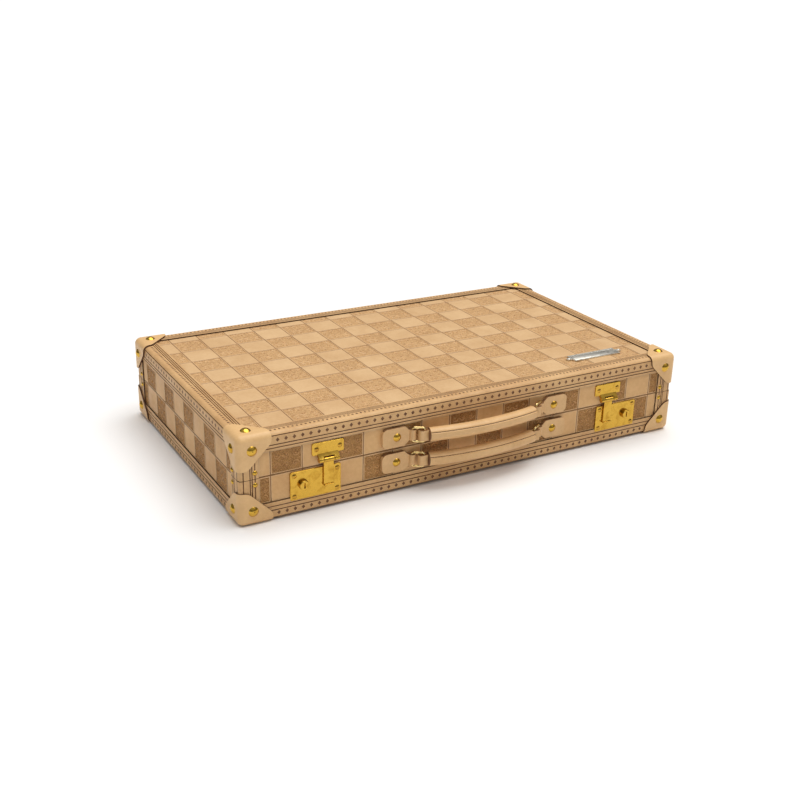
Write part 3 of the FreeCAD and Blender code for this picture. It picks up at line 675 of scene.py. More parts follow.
def as_stamp(name: str, bm: BMesh) -> bpy.types.Mesh:
    """Turns a finished bmesh into a mesh that other pieces take copies of.

    Args:
        name: the mesh's name.
        bm: the bmesh, which is freed.

    Returns:
        The mesh.
    """
    mesh = bpy.data.meshes.new(name)
    bm.to_mesh(mesh)
    bm.free()
    return mesh


def extrude_ring(bm: BMesh, ring: list[BMEdge]
                 ) -> tuple[list[BMEdge], list[BMVert]]:
    """Extrudes a ring of edges in place and returns the new ring's edges and vertices.

    Args:
        bm: the mesh.
        ring: the ring's edges.

    Returns:
        The new ring's edges and its vertices.
    """
    made = bmesh.ops.extrude_edge_only(bm, edges=ring)["geom"]
    return ([g for g in made if isinstance(g, BMEdge)],
            [g for g in made if isinstance(g, BMVert)])


def cut(bm: BMesh, faces: list[BMFace], axis: Axis, value: float
        ) -> list[BMFace]:
    """Cuts some faces along a plane across an axis and returns all that they became.

    Args:
        bm: the mesh.
        faces: the faces to cut.
        axis: the axis that the plane lies across.
        value: where the plane is.

    Returns:
        The faces on both sides of the plane.
    """
    normal = Vector((0.0, 0.0, 0.0))
    normal[axis.value] = 1.0
    edges = list({e for f in faces for e in f.edges})
    verts = list({v for f in faces for v in f.verts})
    made = bmesh.ops.bisect_plane(bm, geom=list(faces) + edges + verts, dist=PLANE_SLACK,
                                  plane_co=normal * value, plane_no=normal)
    return [g for g in made["geom"] if isinstance(g, BMFace)]


@dataclass
class RoundedHalf:
    """One half of the case as a block with rounded outer edges, open at the parting line."""

    half: Half
    low: Vector
    high: Vector
    radius: float

    @classmethod
    def around(cls, half: Half, node: str, radius: float) -> "RoundedHalf":
        """The block that a CAD node fills."""
        low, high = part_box(node)
        return cls(half, low, high, radius)

    def grown(self, amount: float) -> "RoundedHalf":
        """The block grown outwards, with its rim left where it is.

        Args:
            amount: how far, or less than 0 to shrink it.

        Returns:
            The new block.
        """
        out = Vector((amount, amount, amount))
        low, high = self.low - out, self.high + out
        if self.half is Half.BASE:
            high.z = self.high.z
        else:
            low.z = self.low.z
        return RoundedHalf(self.half, low, high, self.radius + amount)

    @property
    def rim(self) -> float:
        """The height of the open side."""
        return self.high.z if self.half is Half.BASE else self.low.z

    @property
    def outer(self) -> float:
        """The height of the closed side."""
        return self.low.z if self.half is Half.BASE else self.high.z

    @property
    def middle(self) -> Vector:
        """The middle of the block."""
        return (self.low + self.high) / 2

    def outward(self, point: Vector) -> Vector:
        """Which way is out of the rounded block from a point near its skin.

        Args:
            point: the point.

        Returns:
            The direction, of length 1.
        """
        core_low = self.low + Vector((self.radius,) * 3)
        core_high = self.high - Vector((self.radius,) * 3)
        if self.half is Half.BASE:
            core_high.z = self.high.z
        else:
            core_low.z = self.low.z
        nearest = Vector(min(max(p, a), b) for p, a, b in zip(point, core_low, core_high))
        return (point - nearest).normalized()

    def add_skin(self, bm: BMesh, segments: int) -> list[BMFace]:
        """Adds the block's outer skin, without its rim face, to a bmesh.

        Args:
            bm: the mesh to add to.
            segments: how many steps round each edge.

        Returns:
            The new faces.
        """
        before = set(bm.faces)
        verts = add_block(bm, self.low, self.high)
        rim_faces = [f for f in {f for v in verts for f in v.link_faces}
                     if all(abs(v.co.z - self.rim) < TOUCH for v in f.verts)]
        rim_edges = set(rim_faces[0].edges)
        rounded = [e for e in {e for v in verts for e in v.link_edges} if e not in rim_edges]
        bmesh.ops.delete(bm, geom=rim_faces, context="FACES_ONLY")
        bmesh.ops.bevel(bm, geom=rounded, offset=self.radius, segments=segments, profile=0.5,
                        affect="EDGES", material=-1)
        return [f for f in bm.faces if f not in before]


# ---- tooled leather covers ----
@dataclass
class TileFace:
    """One face of a cover, laid out in squares between the binding."""

    across: Axis
    up: Axis
    facing: Axis
    level: float
    window: tuple[float, float, float, float]
    lines_across: list[float]
    lines_up: list[float]
    plain: Callable[[int, int], bool]

    def holds(self, face: BMFace) -> bool:
        """Whether a mesh face lies on this face of the cover, inside the binding.

        Args:
            face: the mesh face.

        Returns:
            True where it does.
        """
        centre = face.calc_center_median()
        u0, u1, v0, v1 = self.window
        return (abs(centre[self.facing.value] - self.level) < TOUCH
                and abs(face.normal[self.facing.value]) > FACING
                and u0 < centre[self.across.value] < u1 and v0 < centre[self.up.value] < v1)

    def index(self, point: Vector) -> tuple[int, int]:
        """The column and row of the square that a point lies in, counted from the first line."""
        u, v = point[self.across.value], point[self.up.value]
        return sum(u > line for line in self.lines_across), sum(v > line for line in self.lines_up)

    def is_plain(self, point: Vector) -> bool:
        """Whether the square under a point is smooth rather than punched."""
        return self.plain(*self.index(point))


@dataclass
class TooledCover:
    """The leather over one half: squares parted by creased lines, every other one beaten down."""

    half: Half
    finishes: Finishes
    leather: float = 1.2 * MM
    corner_radius: float = 3.0 * MM
    binding: float = 14.0 * MM
    binding_leather: float = 1.0 * MM
    corner_strip: float = 16.0 * MM
    column: float = 26.1 * MM
    row: float = 25.9 * MM
    side_column: float = 24.1 * MM
    columns_each_way: int = 7
    rows: int = 8
    side_columns_each_way: int = 4
    first_row: float = 0.3 * MM
    crease: float = 0.42 * MM
    crease_depth: float = 0.42 * MM
    shoulder: float = 0.7 * MM
    shoulder_drop: float = 0.09 * MM
    beaten_wall: float = 0.3 * MM
    beaten_depth: float = 0.38 * MM
    pocket_margin: float = 0.2 * MM
    staple_inset: float = 2.0 * MM
    edge_steps: int = 5

    def __post_init__(self) -> None:
        """Takes the block from the CAD cover."""
        self.block = RoundedHalf.around(self.half, self.half.value + "_cover", self.corner_radius)

    def faces(self) -> list[TileFace]:
        """The five faces of the cover with their lines and their order of plain and punched squares.

        Returns:
            The top or bottom first, then the front, back, left and right.
        """
        b, mid = self.block, self.block.middle
        base = self.half is Half.BASE
        outer = b.grown(self.binding_leather)
        inset = self.binding
        strip = self.corner_strip
        x0, x1 = outer.low.x + inset, outer.high.x - inset
        y0, y1 = outer.low.y + inset, outer.high.y - inset
        band = outer.low.z + inset if base else outer.high.z - inset
        z0, z1 = (band, b.rim) if base else (b.rim, band)
        reach, side_reach = self.columns_each_way, self.side_columns_each_way
        columns = [mid.x + k * self.column for k in range(-reach, reach + 1)]
        rows = [y0 + self.first_row + k * self.row for k in range(1, self.rows + 1)]
        sides = [mid.y + k * self.side_column for k in range(-side_reach, side_reach + 1)]
        turn = 1 if base else 0
        found = [TileFace(Axis.X, Axis.Y, Axis.Z, b.outer, (x0, x1, y0, y1), columns, rows,
                          lambda i, j: (i + j + turn) % 2 == 1)]
        for y in (b.low.y, b.high.y):
            found.append(TileFace(Axis.X, Axis.Z, Axis.Y, y,
                                  (outer.low.x + strip, outer.high.x - strip, z0, z1), columns, [],
                                  lambda i, j: (i + turn) % 2 == 0))
        for x in (b.low.x, b.high.x):
            found.append(TileFace(Axis.Y, Axis.Z, Axis.X, x,
                                  (outer.low.y + strip, outer.high.y - strip, z0, z1), sides, [],
                                  lambda i, j: (i + turn) % 2 == 1))
        return found

    def shell(self) -> BMesh:
        """The plain wrapped leather: an outer and an inner skin joined round the rim.

        Returns:
            The leather, open at the rim and with a wall's thickness.
        """
        bm = bmesh.new()
        self.block.add_skin(bm, self.edge_steps)
        inner = self.block.grown(-self.leather).add_skin(bm, self.edge_steps)
        bmesh.ops.reverse_faces(bm, faces=inner)
        rims = [e for e in bm.edges if e.is_boundary]
        bmesh.ops.bridge_loops(bm, edges=rims)
        return bm

    def open_pockets(self, piece: Piece) -> None:
        """Cuts the openings for the locks, under their plates, and the staples' way in.

        Args:
            piece: the tooled cover.
        """
        bm = bmesh.new()
        margin = Vector((self.pocket_margin, 0.0, 0.0))
        front = Vector((0.0, self.leather, 0.0))
        for side in ("left", "right"):
            case_low, case_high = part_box("lock_case_" + side)
            hasp_low, hasp_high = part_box("hasp_" + side)
            add_block(bm, case_low - margin - front, case_high + margin)
            way_low = Vector((hasp_low.x + self.staple_inset, case_low.y - self.leather,
                              case_high.z - self.staple_inset))
            way_high = Vector((hasp_high.x - self.staple_inset, case_high.y,
                               self.block.rim + self.leather))
            add_block(bm, way_low, way_high)
        cutter = bpy.data.objects.new("pocket_cutter", as_stamp("pocket_cutter", bm))
        bpy.context.scene.collection.objects.link(cutter)
        boolean = piece.modifiers.new("pockets", "BOOLEAN")
        boolean.operation = "DIFFERENCE"
        boolean.solver = "EXACT"
        boolean.use_self = True
        boolean.object = cutter
        bpy.context.view_layer.update()
        apply_modifiers(piece)
        bpy.data.objects.remove(cutter)

    def tool(self, bm: BMesh, side: TileFace) -> None:
        """Creases the lines of one face and beats down its punched squares.

        Args:
            bm: the leather.
            side: the face to tool.
        """
        u0, u1, v0, v1 = side.window
        facing = side.facing.value
        on_side = [f for f in bm.faces if abs(f.calc_center_median()[facing] - side.level) < TOUCH
                   and abs(f.normal[facing]) > FACING]
        for axis, values in ((side.across, [u0, u1] + side.lines_across),
                             (side.up, [v0, v1] + side.lines_up)):
            for value in values:
                on_side = cut(bm, on_side, axis, value)
        bm.normal_update()
        tiles = [f for f in bm.faces if side.holds(f)]
        punched = [f for f in tiles if not side.is_plain(f.calc_center_median())]
        corners = {v for f in tiles for v in f.verts}
        inward = Vector((0.0, 0.0, 0.0))
        inward[facing] = -math.copysign(1.0, tiles[0].normal[facing])
        lines = bmesh.ops.inset_individual(bm, faces=tiles, thickness=self.crease,
                                           depth=-self.shoulder_drop, use_even_offset=True)["faces"]
        bmesh.ops.translate(bm, verts=list(corners), vec=inward * self.crease_depth)
        for face in lines:
            face.material_index = 2
        bmesh.ops.inset_individual(bm, faces=tiles, thickness=self.shoulder, depth=self.shoulder_drop,
                                   use_even_offset=True)
        walls = bmesh.ops.inset_individual(bm, faces=punched, thickness=self.beaten_wall,
                                           depth=-self.beaten_depth, use_even_offset=True)["faces"]
        beaten = set(walls + punched)
        # Upright faces take the darker copies of the finishes, which paint in shade.
        upright = side.facing is not Axis.Z
        for face in beaten:
            face.material_index = 4 if upright else 1
        if upright:
            for face in set(tiles) - beaten:
                face.material_index = 3

    def build(self) -> Piece:
        """Makes the cover, with room for the locks in the base's front.

        Returns:
            The cover.
        """
        name = self.half.value + "_tooled_cover"
        slots = (self.finishes.tile, self.finishes.ground, self.finishes.tile_line,
                 self.finishes.side_tile, self.finishes.side_ground)
        bm = self.shell()
        for side in self.faces():
            self.tool(bm, side)
        piece = new_piece(name, bm, slots)
        if self.half is Half.BASE:
            self.open_pockets(piece)
        return settle(piece, self.half.value, "tooled_leather", [self.half.value + "_cover"])


@dataclass
class ScrollWork:
    """The raised work in the punched squares: a scroll with its bud in each quarter, and beads."""

    cover: TooledCover
    finishes: Finishes
    cell: float = 8.8 * MM
    margin: float = 1.3 * MM
    scroll_radius: float = 4.3 * MM
    stem: float = 0.78 * MM
    steps: int = 9
    turn: float = math.radians(50.0)
    shrink: float = 0.84
    thinning: float = 0.97
    bud: float = 1.25 * MM
    bead: float = 0.62 * MM
    rise: float = 0.36 * MM

    def scroll(self) -> bpy.types.Mesh:
        """One scroll, lying flat round the middle of its quarter, with a bud in its eye.

        Returns:
            The stamp.
        """
        bm = bmesh.new()
        start = (Matrix.Translation((self.scroll_radius, 0.0, 0.0))
                 @ Matrix.Rotation(math.pi / 2, 4, "X"))
        foot = bmesh.ops.create_circle(bm, cap_ends=False, segments=4, radius=self.stem,
                                       matrix=start)["verts"]
        ring = list({e for v in foot for e in v.link_edges})
        first = list(ring)
        for _ in range(self.steps):
            ring, verts = extrude_ring(bm, ring)
            bmesh.ops.rotate(bm, verts=verts, cent=(0.0, 0.0, 0.0),
                             matrix=Matrix.Rotation(self.turn, 3, "Z"))
            bmesh.ops.scale(bm, verts=verts, vec=(self.shrink, self.shrink, self.thinning))
        bmesh.ops.edgeloop_fill(bm, edges=first)
        bmesh.ops.edgeloop_fill(bm, edges=ring)
        bmesh.ops.create_icosphere(bm, subdivisions=1, radius=self.bud)
        bmesh.ops.scale(bm, verts=bm.verts, vec=(1.0, 1.0, self.rise / self.stem))
        bmesh.ops.recalc_face_normals(bm, faces=bm.faces)
        return as_stamp("scroll_stamp", bm)

    def bead_stamp(self) -> bpy.types.Mesh:
        """One small raised bead.

        Returns:
            The stamp.
        """
        bm = bmesh.new()
        bmesh.ops.create_icosphere(bm, subdivisions=1, radius=self.bead)
        bmesh.ops.scale(bm, verts=bm.verts, vec=(1.0, 1.0, self.rise / self.bead))
        return as_stamp("bead_stamp", bm)

    def stamp(self, bm: BMesh, mesh: bpy.types.Mesh, place: Matrix) -> None:
        """Presses one copy of a stamp into the work.

        Args:
            bm: the raised work.
            mesh: the stamp.
            place: where it goes.
        """
        before = len(bm.verts)
        bm.from_mesh(mesh)
        bm.verts.ensure_lookup_table()
        bmesh.ops.transform(bm, matrix=place, verts=bm.verts[before:])

    def fill(self, bm: BMesh, side: TileFace,
             stamps: tuple[bpy.types.Mesh, bpy.types.Mesh]) -> None:
        """Lays the stamps out in every punched square of one face.

        Args:
            bm: the raised work.
            side: the face to fill.
            stamps: the scroll and the bead.
        """
        u0, u1, v0, v1 = side.window
        facing = side.facing.value
        outward = math.copysign(1.0, side.level - self.cover.block.middle[facing])
        ground = side.level - outward * self.cover.beaten_depth
        us = [u0] + [u for u in side.lines_across if u0 < u < u1] + [u1]
        vs = [v0] + [v for v in side.lines_up if v0 < v < v1] + [v1]
        axes = Matrix.Identity(3)
        basis = Matrix((axes[side.across.value], axes[side.up.value],
                        outward * axes[facing])).transposed().to_4x4()
        for left, right in zip(us, us[1:]):
            for low, high in zip(vs, vs[1:]):
                centre = Vector((0.0, 0.0, 0.0))
                centre[side.across.value] = (left + right) / 2
                centre[side.up.value] = (low + high) / 2
                centre[facing] = ground
                if not side.is_plain(centre):
                    place = Matrix.Translation(centre) @ basis
                    self.fill_square(bm, place, right - left, high - low, stamps)

    def fill_square(self, bm: BMesh, square: Matrix, width: float, height: float,
                    stamps: tuple[bpy.types.Mesh, bpy.types.Mesh]) -> None:
        """Lays scrolls in the quarters of one square and beads between them.

        Args:
            bm: the raised work.
            square: the square's middle, with its own axes across, up and outwards.
            width: the square's size across.
            height: its size upwards.
            stamps: the scroll and the bead.
        """
        across = max(1, round(width / self.cell))
        up = max(1, round(height / self.cell))
        room = Vector((width - 2 * self.margin, height - 2 * self.margin))
        share = min(room.x / across, room.y / up) / (2 * (self.scroll_radius + self.stem))
        for i in range(across):
            for j in range(up):
                x = (i + 0.5 - across / 2) * room.x / across
                y = (j + 0.5 - up / 2) * room.y / up
                flip = Matrix.Diagonal(((-1.0) ** i, (-1.0) ** j, 1.0, 1.0))
                self.stamp(bm, stamps[0], square @ Matrix.Translation((x, y, 0.0)) @ flip
                           @ Matrix.Diagonal((share, share, 1.0, 1.0)))
        spots = [((i - across / 2) * room.x / across, (j - up / 2) * room.y / up)
                 for i in range(across + 1) for j in range(up + 1)]
        inset = 1.0 - 2 * self.bead / min(room)
        for x, y in spots:
            self.stamp(bm, stamps[1], square @ Matrix.Translation((x * inset, y * inset, 0.0)))

    def build(self) -> Piece:
        """Makes the raised work of one half.

        Returns:
            The raised work.
        """
        bm = bmesh.new()
        stamps = (self.scroll(), self.bead_stamp())
        for side in self.cover.faces():
            before = len(bm.faces)
            self.fill(bm, side, stamps)
            bm.faces.ensure_lookup_table()
            # Scrolls on the upright faces take the darker scroll finish, which paints in shade.
            if side.facing is not Axis.Z:
                for face in bm.faces[before:]:
                    face.material_index = 1
        bmesh.ops.recalc_face_normals(bm, faces=bm.faces)
        half = self.cover.half.value
        slots = (self.finishes.scroll, self.finishes.side_scroll)
        piece = new_piece(half + "_scroll_work", bm, slots, CRISP_ANGLE)
        return settle(piece, half, "tooled_leather")


# ---- bindings ----
@dataclass
class TooledBinding:
    """The raised leather frame round one half's edges, with tooled lines and a row of lozenges."""

    half: Half
    finishes: Finishes
    lines: tuple[float, ...]
    lozenge_row: float
    leather: float = 1.0 * MM
    corner_radius: float = 4.0 * MM
    width: float = 14.0 * MM
    corner_strip: float = 16.0 * MM
    top_lines: tuple[float, ...] = (3.0 * MM, 8.6 * MM, 10.4 * MM, 12.2 * MM)
    top_row: float = 5.9 * MM
    strip_lines: tuple[float, ...] = (3.6 * MM, 9.0 * MM, 10.6 * MM, 13.0 * MM)
    line_half: float = 0.42 * MM
    line_depth: float = 0.46 * MM
    lozenge: tuple[float, float] = (3.1 * MM, 3.6 * MM)
    lozenge_pitch: float = 6.8 * MM
    small_lozenge: tuple[float, float] = (2.3 * MM, 2.6 * MM)
    small_pitch: float = 3.6 * MM
    lozenge_depth: float = 0.36 * MM
    cap_reach: float = 27.0 * MM
    edge_steps: int = 6
    pit_share: float = 0.2
    skin_share: float = 0.4

    def __post_init__(self) -> None:
        """Takes the block from the CAD binding."""
        self.block = RoundedHalf.around(self.half, self.half.value + "_binding", self.corner_radius)

    @property
    def inward_z(self) -> float:
        """Which way along Z leads from the closed side to the rim."""
        return 1.0 if self.half is Half.BASE else -1.0

    def skin(self) -> BMesh:
        """The frame as a bare outer skin with its five windows cut out.

        Returns:
            The skin, which has no thickness yet.
        """
        b = self.block
        bm = bmesh.new()
        b.add_skin(bm, self.edge_steps)
        band = b.outer + self.inward_z * self.width
        inner = {axis: (b.low[axis.value] + self.width, b.high[axis.value] - self.width,
                        b.low[axis.value] + self.corner_strip, b.high[axis.value] - self.corner_strip)
                 for axis in (Axis.X, Axis.Y)}
        for axis, values in inner.items():
            for value in values:
                cut(bm, list(bm.faces), axis, value)
        cut(bm, list(bm.faces), Axis.Z, band)
        bm.normal_update()
        wx0, wx1, sx0, sx1 = inner[Axis.X]
        wy0, wy1, sy0, sy1 = inner[Axis.Y]

        def in_window(face: BMFace) -> bool:
            """Whether a face lies in one of the five windows."""
            c = face.calc_center_median()
            if abs(c.z - b.outer) < TOUCH:
                return wx0 < c.x < wx1 and wy0 < c.y < wy1
            past_band = (c.z - band) * self.inward_z > 0
            return past_band and (sx0 < c.x < sx1 or sy0 < c.y < sy1)

        bmesh.ops.delete(bm, geom=[f for f in bm.faces if in_window(f)], context="FACES")
        bmesh.ops.recalc_face_normals(bm, faces=bm.faces)
        probe = max(bm.faces, key=lambda f: f.calc_area())
        if probe.normal.dot(b.outward(probe.calc_center_median())) < 0:
            bmesh.ops.reverse_faces(bm, faces=bm.faces)
        return bm

    def outer_faces(self, bm: BMesh) -> list[BMFace]:
        """The faces that look out of the case.

        Args:
            bm: the frame.

        Returns:
            The faces.
        """
        bm.normal_update()
        return [f for f in bm.faces
                if f.normal.dot(self.block.outward(f.calc_center_median())) > 0.9 and self.is_skin(f)]

    def is_skin(self, face: BMFace) -> bool:
        """Whether a face lies on the outer skin rather than on the glued one.

        Args:
            face: the face.

        Returns:
            True on the outer skin and on rounded edges.
        """
        b, c = self.block, face.calc_center_median()
        out = b.outward(c)
        if max(abs(out.x), abs(out.y), abs(out.z)) <= 0.999:
            return True
        reach = max(b.low.x - c.x, c.x - b.high.x, b.low.y - c.y, c.y - b.high.y,
                    (c.z - b.outer) * -self.inward_z)
        return reach > -self.skin_share * self.leather

    def crease(self, bm: BMesh, axis: Axis, value: float,
               chosen: Callable[[BMFace], bool]) -> None:
        """Presses one straight line into the skin.

        Args:
            bm: the frame.
            axis: the axis that the line's plane lies across.
            value: where the plane is.
            chosen: which outer faces the line runs over.
        """
        faces = [f for f in self.outer_faces(bm) if chosen(f)]
        for step in (-1, 0, 1):
            faces = cut(bm, faces, axis, value + step * self.line_half)
        bm.normal_update()
        bottom = {v for f in faces for v in f.verts if abs(v.co[axis.value] - value) < TOUCH}
        for vert in bottom:
            vert.co -= self.block.outward(vert.co) * self.line_depth
        for face in faces:
            if bottom & set(face.verts):
                face.material_index = 1

    def press_row(self, bm: BMesh, along: Axis, across: Axis, centre: float,
                  ends: tuple[float, float], size: tuple[float, float], pitch: float,
                  chosen: Callable[[BMFace], bool]) -> None:
        """Presses a row of lozenges into a flat stretch of the skin.

        Args:
            bm: the frame.
            along: the axis that the row runs along.
            across: the axis that the row's width lies on.
            centre: where the middle of the row is on that axis.
            ends: where the row starts and stops.
            size: a lozenge's length along the row and its width.
            pitch: from one lozenge to the next.
            chosen: which outer faces the row runs over.
        """
        count = int((ends[1] - ends[0] - size[0]) / pitch)
        start = (ends[0] + ends[1] - count * pitch) / 2
        faces = [f for f in self.outer_faces(bm) if chosen(f)]
        for side in (-1, 1):
            faces = cut(bm, faces, across, centre + side * size[1] / 2)
        faces = [f for f in faces if abs(f.calc_center_median()[across.value] - centre) < size[1] / 2]
        for index in range(count + 1):
            for side in (-1, 1):
                faces = cut(bm, faces, along, start + index * pitch + side * size[0] / 2)

        def is_cell(face: BMFace) -> bool:
            """Whether a face is one of the row's cells."""
            offset = (face.calc_center_median()[along.value] - start) % pitch
            spans = [v.co[along.value] for v in face.verts]
            return min(offset, pitch - offset) < TOUCH and max(spans) - min(spans) < size[0] * 1.01

        cells = [f for f in faces if is_cell(f)]
        pits = [self.lozenge_in(bm, cell, across) for cell in cells]
        walls = bmesh.ops.inset_individual(bm, faces=pits, thickness=self.pit_share * size[0],
                                           depth=-self.lozenge_depth, use_even_offset=True)["faces"]
        for face in walls + pits:
            face.material_index = 1

    def lozenge_in(self, bm: BMesh, cell: BMFace,
                   across: Axis) -> BMFace:
        """Joins the middles of a cell's four sides and returns the lozenge between them.

        Args:
            bm: the frame.
            cell: the cell.
            across: the axis that the row's width lies on.

        Returns:
            The lozenge.
        """
        centre = cell.calc_center_median()
        made = bmesh.ops.subdivide_edges(bm, edges=list(cell.edges), cuts=1, use_grid_fill=False)
        middles = [g for g in made["geom_inner"] if isinstance(g, BMVert)]
        middles.sort(key=lambda v: math.atan2(*self.flat(v.co - centre, across)))
        for first, second in zip(middles, middles[1:] + middles[:1]):
            bmesh.ops.connect_vert_pair(bm, verts=[first, second])
        wanted = set(middles)
        return next(f for f in middles[0].link_faces if set(f.verts) == wanted)

    def flat(self, offset: Vector, across: Axis) -> tuple[float, float]:
        """An offset in a row's plane as two numbers, for sorting round its middle."""
        others = [offset[a.value] for a in Axis if a is not across]
        return offset[across.value], max(others, key=abs)

    def build(self) -> Piece:
        """Makes the binding.

        Returns:
            The binding.
        """
        b = self.block
        bm = self.skin()
        bmesh.ops.solidify(bm, geom=bm.faces, thickness=self.leather)
        bmesh.ops.recalc_face_normals(bm, faces=bm.faces)
        bm.normal_update()
        for face in bm.faces:
            if abs(face.normal.dot(b.outward(face.calc_center_median()))) < 0.6:
                face.material_index = 2
        self.tool_band(bm)
        self.tool_outer_face(bm)
        half = self.half.value
        slots = (self.finishes.border, self.finishes.tool_line, self.finishes.edge)
        piece = new_piece(half + "_tooled_binding", bm, slots, smooth_angle=28.0)
        return settle(piece, half, "binding_leather", [half + "_binding"])

    def tool_band(self, bm: BMesh) -> None:
        """Lines and lozenges round the upright band, and lines down the corner strips.

        Args:
            bm: the frame.
        """
        b = self.block
        band = b.outer + self.inward_z * self.width

        def on_band(face: BMFace) -> bool:
            """Whether a face lies on the upright band."""
            return (face.calc_center_median().z - band) * self.inward_z < 0

        for offset in self.lines:
            self.crease(bm, Axis.Z, b.outer + self.inward_z * offset, on_band)
        level = b.outer + self.inward_z * self.lozenge_row
        for along, facing in ((Axis.X, Axis.Y), (Axis.Y, Axis.X)):
            low, high = b.low[along.value] + self.cap_reach, b.high[along.value] - self.cap_reach
            for side in (b.low[facing.value], b.high[facing.value]):
                self.press_row(bm, along, Axis.Z, level, (low, high), self.lozenge, self.lozenge_pitch,
                               lambda f, a=facing.value, s=side: on_band(f)
                               and abs(f.calc_center_median()[a] - s) < TOUCH)
            for offset in self.strip_lines:
                for value in (b.low[along.value] + offset, b.high[along.value] - offset):
                    self.crease(bm, along, value,
                                lambda f, a=facing: not on_band(f) and abs(f.normal[a.value]) > 0.9)

    def tool_outer_face(self, bm: BMesh) -> None:
        """Lines and a row of small lozenges round the frame's flat outer face.

        Args:
            bm: the frame.
        """
        b = self.block

        def on_face(face: BMFace) -> bool:
            """Whether a face lies on the flat outer side."""
            return abs(face.calc_center_median().z - b.outer) < TOUCH

        for axis, other in ((Axis.X, Axis.Y), (Axis.Y, Axis.X)):
            a, o = axis.value, other.value
            for offset in self.top_lines:
                for value in (b.low[a] + offset, b.high[a] - offset):
                    self.crease(bm, axis, value,
                                lambda f, a=a, o=o: on_face(f) and self.side_of(f) == a)
            for value in (b.low[a] + self.top_row, b.high[a] - self.top_row):
                ends = (b.low[o] + self.cap_reach, b.high[o] - self.cap_reach)
                self.press_row(bm, other, axis, value, ends, self.small_lozenge, self.small_pitch,
                               lambda f, a=a: on_face(f) and self.side_of(f) == a)

    def side_of(self, face: BMFace) -> int:
        """Which pair of sides a face of the outer side belongs to: 0 across X, 1 across Y.

        Args:
            face: the face.

        Returns:
            The pair's number.
        """
        c = face.calc_center_median()
        gap_x = min(c.x - self.block.low.x, self.block.high.x - c.x)
        gap_y = min(c.y - self.block.low.y, self.block.high.y - c.y)
        return 0 if gap_x < self.width and (gap_y >= self.width or gap_x < gap_y) else 1


# ---- pieces that keep their CAD shape ----
@dataclass
class SoftenedPiece:
    """A CAD node redrawn with rounded edges and, if it is leather, with its cut sides burnished."""

    node: str
    body: str
    slot: str
    face: Material
    side: Material | None = None
    is_side: Callable[[BMFace], bool] | None = None
    rounding: float = 0.3 * MM
    segments: int = 2

    def build(self) -> Piece:
        """Makes the piece and lets it stand for its node.

        Returns:
            The piece.
        """
        bm = merged_copy(self.node)
        bm.normal_update()
        if self.is_side is not None:
            for face in bm.faces:
                if self.is_side(face):
                    face.material_index = 1
        materials = [self.face] + ([self.side] if self.side is not None else [])
        piece = new_piece(self.node + "_finished", bm, materials)
        soften(piece, self.rounding, self.segments)
        return settle(piece, self.body, self.slot, [self.node])


@dataclass
class CornerCaps:
    """The moulded leather caps over one half's corners, with dark cut edges."""

    half: Half
    finishes: Finishes
    corner_radius: float = 5.5 * MM

    def build(self) -> Piece:
        """Makes the four caps of the half.

        Returns:
            The caps, as one piece.
        """
        node = self.half.value + "_corner_caps"
        block = RoundedHalf.around(self.half, node, self.corner_radius)

        def cut_side(face: BMFace) -> bool:
            """Whether a face is a cut edge of the leather."""
            return abs(face.normal.dot(block.outward(face.calc_center_median()))) < 0.5

        return SoftenedPiece(node, self.half.value, "cap_leather", self.finishes.cap,
                             self.finishes.cap_edge, cut_side, rounding=0.4 * MM, segments=3).build()


